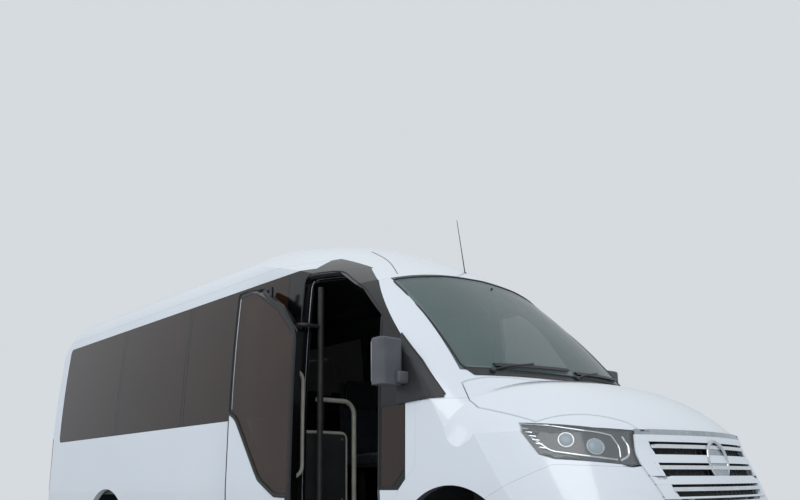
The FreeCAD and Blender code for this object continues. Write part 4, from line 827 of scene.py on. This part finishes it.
def rim_shape(width, face, centre, side, holes, hole_radius):
    """A wheel: rim, dished disc with hand holes, and hub. face is the disc's distance outwards."""
    half = width / 2
    out = side
    line = [(-half + 0.004, 0.218), (-half + 0.013, 0.218), (-half + 0.014, 0.2085), (half - 0.014, 0.2085),
            (half - 0.013, 0.218), (half - 0.004, 0.218), (half - 0.004, 0.190), (half - 0.030, 0.181),
            (face + 0.002, 0.178), (face + 0.012, 0.150), (face + 0.006, 0.120), (face + 0.016, 0.100),
            (face + 0.016, 0.064), (face + 0.034, 0.060), (face + 0.038, 0.040), (face + 0.040, 0.0245),
            (face - 0.004, 0.0245), (face - 0.004, 0.100), (face - 0.008, 0.120), (face - 0.006, 0.150),
            (face - 0.014, 0.172), (-half + 0.03, 0.182), (-half + 0.004, 0.190)]
    ring = turned([(out * y, r) for y, r in line], centre, 72)
    cutters = []
    for i in range(holes):
        angle = 2 * math.pi * (i + 0.5) / holes
        spot = Vector(centre) + Vector((0.142 * math.cos(angle), out * face, 0.142 * math.sin(angle)))
        cutters.append(shape("cylinder", vertices=20, radius=hole_radius, depth=0.09, location=spot,
                             rotation=(math.pi / 2, 0, 0)))
    tool = merged(cutters)
    modified(ring, "BOOLEAN", operation="DIFFERENCE", object=tool, solver="EXACT")
    bpy.data.objects.remove(tool)
    return ring


NUTS = 6
NUT_RING = 0.083


def nuts(centre, along, side):
    """Wheel nuts and the hub cap on the disc's face."""
    pieces = []
    for i in range(NUTS):
        angle = 2 * math.pi * i / NUTS
        offset = (NUT_RING * math.cos(angle), side * (along + 0.012), NUT_RING * math.sin(angle))
        pieces.append(shape("cylinder", vertices=6, radius=0.0125, depth=0.026,
                            location=Vector(centre) + Vector(offset), rotation=(math.pi / 2, 0, 0)))
        modified(pieces[-1], "BEVEL", width=0.002, segments=2)
    line = [(0.020, 0.0), (0.024, 0.030), (0.016, 0.043), (-0.012, 0.045), (-0.012, 0.0)]
    cap = turned([(side * (along + out), radius) for out, radius in line], centre, 32)
    return merged(pieces + [cap])


for side, word in ((RIGHT, "right"), (LEFT, "left")):
    front = (AXLES["front"], side * 0.855, AXLE_HEIGHT)
    body = "front_wheel_" + word
    made = fitted(tread(0.225, front), "front_tyre_tread_" + word, body, tyre_rubber)
    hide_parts("front_tyre_" + word)
    made = fitted(rim_shape(0.225, 0.026, front, side, 8, 0.019), "front_wheel_disc_" + word, body,
                  wheel_paint)
    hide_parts("front_rim_" + word)
    fitted(nuts(front, 0.052, side), "front_wheel_nuts_" + word, body, steel)
    body = "rear_wheels_" + word
    far = (AXLES["rear"], side * 0.8675, AXLE_HEIGHT)
    near = (AXLES["rear"], side * 0.6325, AXLE_HEIGHT)
    made = fitted(merged([tread(0.195, far), tread(0.195, near)]), "rear_tyre_treads_" + word, body,
                  tyre_rubber)
    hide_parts("rear_tyres_" + word)
    inner = rim_shape(0.195, 0.080, near, side, 8, 0.019)
    outer = rim_shape(0.195, -0.058, far, side, 8, 0.019)
    made = fitted(merged([outer, inner]), "rear_wheel_discs_" + word, body, wheel_paint)
    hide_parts("rear_rims_" + word)
    fitted(nuts(far, -0.032, side), "rear_wheel_nuts_" + word, body, steel)


# Cowl between bonnet and windscreen, screen surround, wiper arms and interior mirror
screen_spot = from_front(skin_of("front_frame", "windscreen", "roof"))
cowl_rows = between([(-0.76, 1.398), (0.0, 1.403), (0.76, 1.398)],
                    [(-0.79, 1.446), (0.0, 1.448), (0.79, 1.446)], 3, 40)
fitted(plate(screen_spot, cowl_rows, 0.004, 0.0008), "cowl", "body", black_plastic)
SCREEN_EDGE = [(-0.796, 1.442), (0.796, 1.442), (0.745, 2.082), (0.60, 2.112), (0.35, 2.150), (0.0, 2.170),
               (-0.35, 2.150), (-0.60, 2.112), (-0.745, 2.082)]
fitted(bead(screen_spot, SCREEN_EDGE, 0.006, True, 0.04, 0.04), "windscreen_seal", "body", rubber)
arms = []
for inner, outer in ((-0.64, -0.30), (0.04, 0.36)):
    arms.append(bead(screen_spot, [(inner, 1.424), (inner + 0.10, 1.452), (outer, 1.488)], 0.006, False, 0.03,
                     0.04, 0.014))
    place, normal = screen_spot((inner, 1.424))
    boss = shape("cylinder", vertices=24, radius=0.017, depth=0.026, location=place + normal * 0.010,
                 rotation=turn_to(normal))
    modified(boss, "BEVEL", width=0.003, segments=2)
    arms.append(boss)
fitted(merged(arms), "wiper_arms", "body", black_plastic)
mirror = block((at(1.560), -0.115, 1.985), (at(1.530), 0.115, 2.050), 0.012, 3)
stem = tube([(at(1.548), 0, 2.04), (at(1.548), 0, 2.085), (at(1.535), 0, 2.11)], 0.007)
fitted(merged([mirror, stem]), "interior_mirror", "body", black_plastic)

# Seams of the roof
roof_spot = from_top(skin_of("roof"))
pair(bead(roof_spot, [(2.285, -0.425), (1.969, -0.537), (1.760, -0.660)], 0.0025, False, 0.1, 0.06),
     "roof_front_seam", rubber)

# Entry leaf's lower rear panel
panel_foot = [(2.300, 0.70), (3.005, 0.70)]
panel_edge = [(2.300, 0.742), (2.420, 0.744), (2.618, 0.850), (2.925, 1.262), (3.005, 1.304)]
fitted(plate(leaf_spot, between(panel_foot, panel_edge, 6, 40), 0.003, 0.0006), "leaf_lower_panel",
       "entry_leaf", white_panel)


# Seats
def fabric(name, light, dark, thread):
    """Woven cloth: crossing sets of threads, drawn six threads wide to show, over slow changes of shade."""
    made, tree, shader, coords = blank(name)
    place = coords.outputs["Object"]
    bands = {"Vector": place, "Scale": 1 / (thread * 6 * MM), "Distortion": 0.6, "Detail": 1.0}
    warp, weft, rise = (node(tree, "TexWave", bands, bands_direction=way).outputs["Fac"] for way in "YZX")
    height = maths(tree, "MAXIMUM", maths(tree, "MULTIPLY", warp, weft), rise)
    shade = maths(tree, "MULTIPLY", height, noise(tree, place, 0.12, 4.0))
    give(tree, shader, {"Base Color": over(tree, shade, linear(dark), linear(light)),
                        "Normal": bumps(tree, height, 0.35 * MM, 0.7), "Roughness": 0.88,
                        "Sheen Weight": 0.35, "Sheen Roughness": 0.4})
    return made


# Blue-grey woven cloth, a darker plain one at the sides, and a dull moulded shell behind
seat_cloth = fabric("woven_seat_cloth", "#3D4452", "#23272F", 1.6)
seat_side_cloth = fabric("plain_seat_side_cloth", "#2A2D33", "#1C1E22", 1.2)
seat_shell = finish("moulded_seat_shell", "#2B2D30", "#323437", 90, 2.5, 0.15, (0.5, 0.62))


def pad(low, high, face, crown, seams, radius, cuts):
    """A crowned cushion between two corners: rounded edges, sides drawn in, and sewn lines across its face.

    face is the axis and the way that the sitter sees; seams are shares of the way up or back.
    """
    low, high = Vector(low), Vector(high)
    centre, half = (low + high) / 2, (high - low) / 2
    obj = plain_block(low, high)
    edited(obj, lambda: bpy.ops.mesh.subdivide(number_cuts=cuts))
    axis, way = face
    seam_axis = 2 - axis
    for vertex in obj.data.vertices:
        spot = vertex.co - centre
        core = Vector([max(-(h - radius), min(h - radius, c)) for c, h in zip(spot, half)])
        out = spot - core
        if out.length > radius:
            spot = core + out.normalized() * radius
        share = [c / h for c, h in zip(spot, half)]
        if share[axis] * way > 0:
            rest = [1 - share[i] ** 2 for i in range(3) if i != axis]
            spot[axis] -= way * crown * (1 - rest[0] * rest[1]) * share[axis] * way
            for seam in seams:
                near = abs(share[seam_axis] - seam) / 0.07
                if near < 1:
                    spot[axis] -= way * 0.008 * (1 - near ** 2)
            side = abs(abs(share[1]) - 0.66) / 0.08
            if side < 1:
                spot[axis] -= way * 0.006 * (1 - side ** 2)
        spot[1] -= math.copysign(0.010 * (1 - share[seam_axis] ** 2) * abs(share[1]) ** 3, spot[1])
        vertex.co = centre + spot
    return obj


SEAT_DEPTH = 0.470
SEAT_WIDTH = 0.430
FOOT_INSET = 0.07
FOOT_WIDTH = 0.04


def seat(name, station, near, far, cad_node):
    """A padded seat with its shell and frame; station is its front edge."""
    front, rear = at(station), at(station + SEAT_DEPTH)
    pads = (
        ("_cushion", (rear, near + 0.004, 0.968), (front, far - 0.004, 1.070), (2, 1), 0.022, (-0.45, 0.35),
         0.035, 17, seat_cloth),
        ("_back_pad", (rear - 0.078, near + 0.006, 1.045), (rear - 0.002, far - 0.006, 1.430), (0, 1), 0.020,
         (-0.3, 0.4), 0.032, 17, seat_cloth),
        ("_head_pad", (rear - 0.074, near + 0.050, 1.440), (rear - 0.004, far - 0.050, 1.668), (0, 1), 0.018,
         (), 0.034, 11, seat_side_cloth))
    soft = []
    for word, low, high, face, crown, seams, radius, cuts, cloth in pads:
        soft.append(fitted(pad(low, high, face, crown, seams, radius, cuts), name + word, "body", cloth))
    for piece in soft:
        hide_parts(cad_node)
    shell = [block((rear - 0.088, near + 0.012, 1.00), (rear - 0.076, far - 0.012, 1.640), 0.005, 2),
             block((rear - 0.010, near + 0.010, 0.948), (front - 0.02, far - 0.010, 0.968), 0.005, 2)]
    fitted(merged(shell), name + "_shell", "body", seat_shell)
    feet = []
    for low, high in ((rear + 0.08, rear + 0.14), (front - 0.14, front - 0.09)):
        for edge in (near + FOOT_INSET, far - FOOT_INSET - FOOT_WIDTH):
            feet.append(block((low, edge, 0.662), (high, edge + FOOT_WIDTH, 0.950), 0.006))
    for edge in (near + 0.06, far - 0.12):
        feet.append(block((rear + 0.07, edge, 0.661), (front - 0.08, edge + 0.06, 0.672), 0.003))
    fitted(merged(feet), name + "_frame", "body", chassis_paint)


FIRST_ROW = 2.700
ROW_PITCH = 0.800
SEATS_ACROSS = {"a": -0.910, "b": 0.030, "c": 0.480, "d": -0.460}
for row, letters in enumerate(("abc", "abc", "abc", "b", "abcd")):
    for letter in letters:
        edge = SEATS_ACROSS[letter]
        seat("seat_%d%s" % (row, letter), FIRST_ROW + ROW_PITCH * row, edge, edge + SEAT_WIDTH,
             "passenger_seats")
seat("driver_seat", 1.830, 0.200, 0.690, "driver_seat")

# Partition: a bright frame round the board, and its screws
PARTITION_EDGE = [(-0.935, 0.67), (-0.555, 0.67), (-0.555, 1.16), (-0.935, 1.16)]
frame_line = [(at(2.4275), y, z) for y, z in softened(PARTITION_EDGE, 0.04)]
fitted(tube(frame_line, 0.015, True), "partition_frame", "body", rail_paint)
screws = []
for y in (-0.90, -0.59):
    for z in (0.72, 1.12):
        screws.append(shape("uv_sphere", segments=16, ring_count=8, radius=0.008,
                            location=(at(2.4145), y, z), scale=(0.5, 1, 1)))
fitted(merged(screws), "partition_screws", "body", steel)

# Dashboard: instrument hood, screen, vents and the wheel's hub
hood = block((at(1.56), 0.27, 1.270), (at(1.36), 0.59, 1.385), 0.03, 4)
fitted(hood, "instrument_hood", "body", dash_plastic)
fitted(block((at(1.605), -0.13, 1.10), (at(1.585), 0.13, 1.27), 0.006), "dash_screen", "body", gloss_black)
vents = []
for y in (-0.80, -0.60, 0.15, 0.72):
    for k in range(4):
        z = 1.205 + 0.014 * k
        vents.append(block((at(1.612), y - 0.05, z), (at(1.590), y + 0.05, z + 0.004), 0.001, 1))
fitted(merged(vents), "dash_vents", "body", black_plastic)
wheel_way = Vector((-1, 0, 0.75)).normalized()
hub = shape("uv_sphere", segments=32, ring_count=16, radius=0.085, scale=(1, 1, 0.38),
            location=Vector((at(1.764), 0.43, 1.278)) + wheel_way * 0.004, rotation=turn_to(wheel_way))
fitted(hub, "steering_wheel_hub", "body", dash_plastic)

# Front bumper: mesh in the intake, blank plate and fog lamps
front_spot = from_front(skin_of("front_bumper", "grille"))
bars = []
for k in range(4):
    z = 0.445 + 0.031 * k
    bars.append(block((at(0.085), -0.395, z), (at(0.055), 0.395, z + 0.008), 0.002, 1))
for k in range(-7, 8):
    y = k * 0.053
    bars.append(block((at(0.082), y - 0.003, 0.425), (at(0.060), y + 0.003, 0.555), 0.001, 1))
fitted(merged(bars), "intake_mesh", "body", black_plastic)
plate_rows = upright_grid(-0.26, 0.26, 0.592, 0.702, 4, 12)
fitted(plate(front_spot, plate_rows, 0.008, 0.001), "front_blank_plate", "body", white_panel)
place, normal = front_spot((-0.70, 0.56))
collar, eye = bowl(place, normal, 0.048, 0.006)
pair(collar, "fog_lamp_collar", gloss_black)
pair(eye, "fog_lamp_lens", clear_lens)

# Rear: seals round the panes and doors, lamps, handle, wiper, blank plate and ribs on the step
rear_spot = from_rear(skin_of("rear_door_right", "rear_door_left", "rear_door_glass_right",
                              "rear_door_glass_left", "rear_frame", "tail_lamps"))
for side, word in ((RIGHT, "right"), (LEFT, "left")):
    body = "rear_door_" + word
    edge = [(side * 0.09, 1.32), (side * 0.70, 1.32), (side * 0.66, 2.06), (side * 0.09, 2.06)]
    fitted(bead(rear_spot, edge, 0.006, True, 0.04, 0.05), "rear_pane_seal_" + word, body, rubber)
    shut = [(side * 0.020, 0.60), (side * 0.770, 0.60), (side * 0.770, 2.16), (side * 0.020, 2.16)]
    fitted(bead(rear_spot, shut, 0.003, True, 0.05, 0.06), "rear_door_line_" + word, body, rubber)
    for k, (low, high) in enumerate(((0.82, 0.95), (0.97, 1.14), (1.16, 1.31))):
        rows = upright_grid(side * 0.86, side * 0.985, low, high, 4, 5)
        made = plate(rear_spot, rows, 0.006, 0.001)
        fitted(made, "tail_lamp_%s_%s" % (("reverse", "brake", "turn")[k], word), "body",
               (clear_lens, red_lens, red_lens)[k])
place = rear_spot((-0.06, 1.05))[0]
handle = [block((place.x - 0.030, -0.085, 0.98), (place.x - 0.002, -0.045, 1.12), 0.01, 3),
          block((place.x - 0.012, -0.095, 0.96), (place.x + 0.002, -0.035, 1.14), 0.004)]
fitted(merged(handle), "rear_door_handle", "rear_door_right", black_plastic)
fitted(bead(rear_spot, [(-0.40, 1.270), (-0.40, 1.36), (-0.36, 1.62)], 0.007, False, 0.04, 0.05, 0.010),
       "rear_wiper", "rear_door_right", black_plastic)
plate_rows = upright_grid(0.14, 0.66, 0.86, 0.97, 4, 10)
fitted(plate(rear_spot, plate_rows, 0.006, 0.001), "rear_blank_plate", "rear_door_left", white_panel)
top_lamp_rows = upright_grid(-0.17, 0.17, 2.245, 2.275, 2, 10)
fitted(plate(rear_spot, top_lamp_rows, 0.008, 0.001), "third_brake_lamp", "body", red_lens)
ribs = []
for k in range(5):
    x = at(6.867 + 0.018 * k)
    ribs.append(block((x - 0.005, -0.80, 0.5295), (x + 0.005, 0.80, 0.5335), 0.001, 1))
fitted(merged(ribs), "rear_step_ribs", "body", rubber)

# Left side: seal and handle of the driver's door and the fuel flap; markers on both sides
left_spot = from_side(skin_of("side_left", "driver_door", "driver_door_glass", "side_glass", "wings",
                              "sill_left", "front_frame", "roof"), LEFT)
DOOR_PANE = [(1.437, 1.297), (1.437, 1.44), (1.878, 2.083), (1.99, 2.163), (2.273, 2.163), (2.273, 1.297)]
fitted(bead(left_spot, DOOR_PANE, 0.006, True, 0.03, 0.06), "driver_pane_seal", "driver_door", rubber)
place = left_spot((2.16, 1.10))[0]
rear_end, front_end, root, grip = at(2.235), at(2.085), place.y + 0.002, place.y + 0.022
bow = [(rear_end, root, 1.10), (rear_end, grip, 1.10), (front_end, grip, 1.10), (front_end, root, 1.10)]
handle = [block((at(2.25), place.y - 0.002, 1.075), (at(2.07), place.y + 0.004, 1.125), 0.008, 3),
          tube(softened(bow, 0.015, False), 0.008)]
fitted(merged(handle), "driver_door_handle", "driver_door", black_plastic)
flap = [(2.98, 0.90), (3.16, 0.90), (3.16, 1.08), (2.98, 1.08)]
fitted(bead(left_spot, flap, 0.0022, True, 0.03, 0.05), "fuel_flap_line", "body", rubber)
for side, word, spot in ((RIGHT, "right", right_spot), (LEFT, "left", left_spot)):
    lenses = []
    for station in (2.62 if side == LEFT else 3.10, 4.45, 6.35):
        rows = upright_grid(station, station + 0.09, 0.555, 0.590, 2, 4)
        lenses.append(plate(spot, rows, 0.007, 0.001))
    amber = finish("amber_lens_" + word, "#B0651C", "#9A5514", 40, 3, 0.1, (0.15, 0.25))
    fitted(merged(lenses), "side_markers_" + word, "body", amber)

# Floor: ribs along the aisle
ribs = [block((at(5.9), -0.43 + 0.05 * k, 0.6595), (at(2.47), -0.43 + 0.05 * k + 0.012, 0.6625), 0.001, 1)
        for k in range(9)]
fitted(merged(ribs), "aisle_ribs", "body", covering)
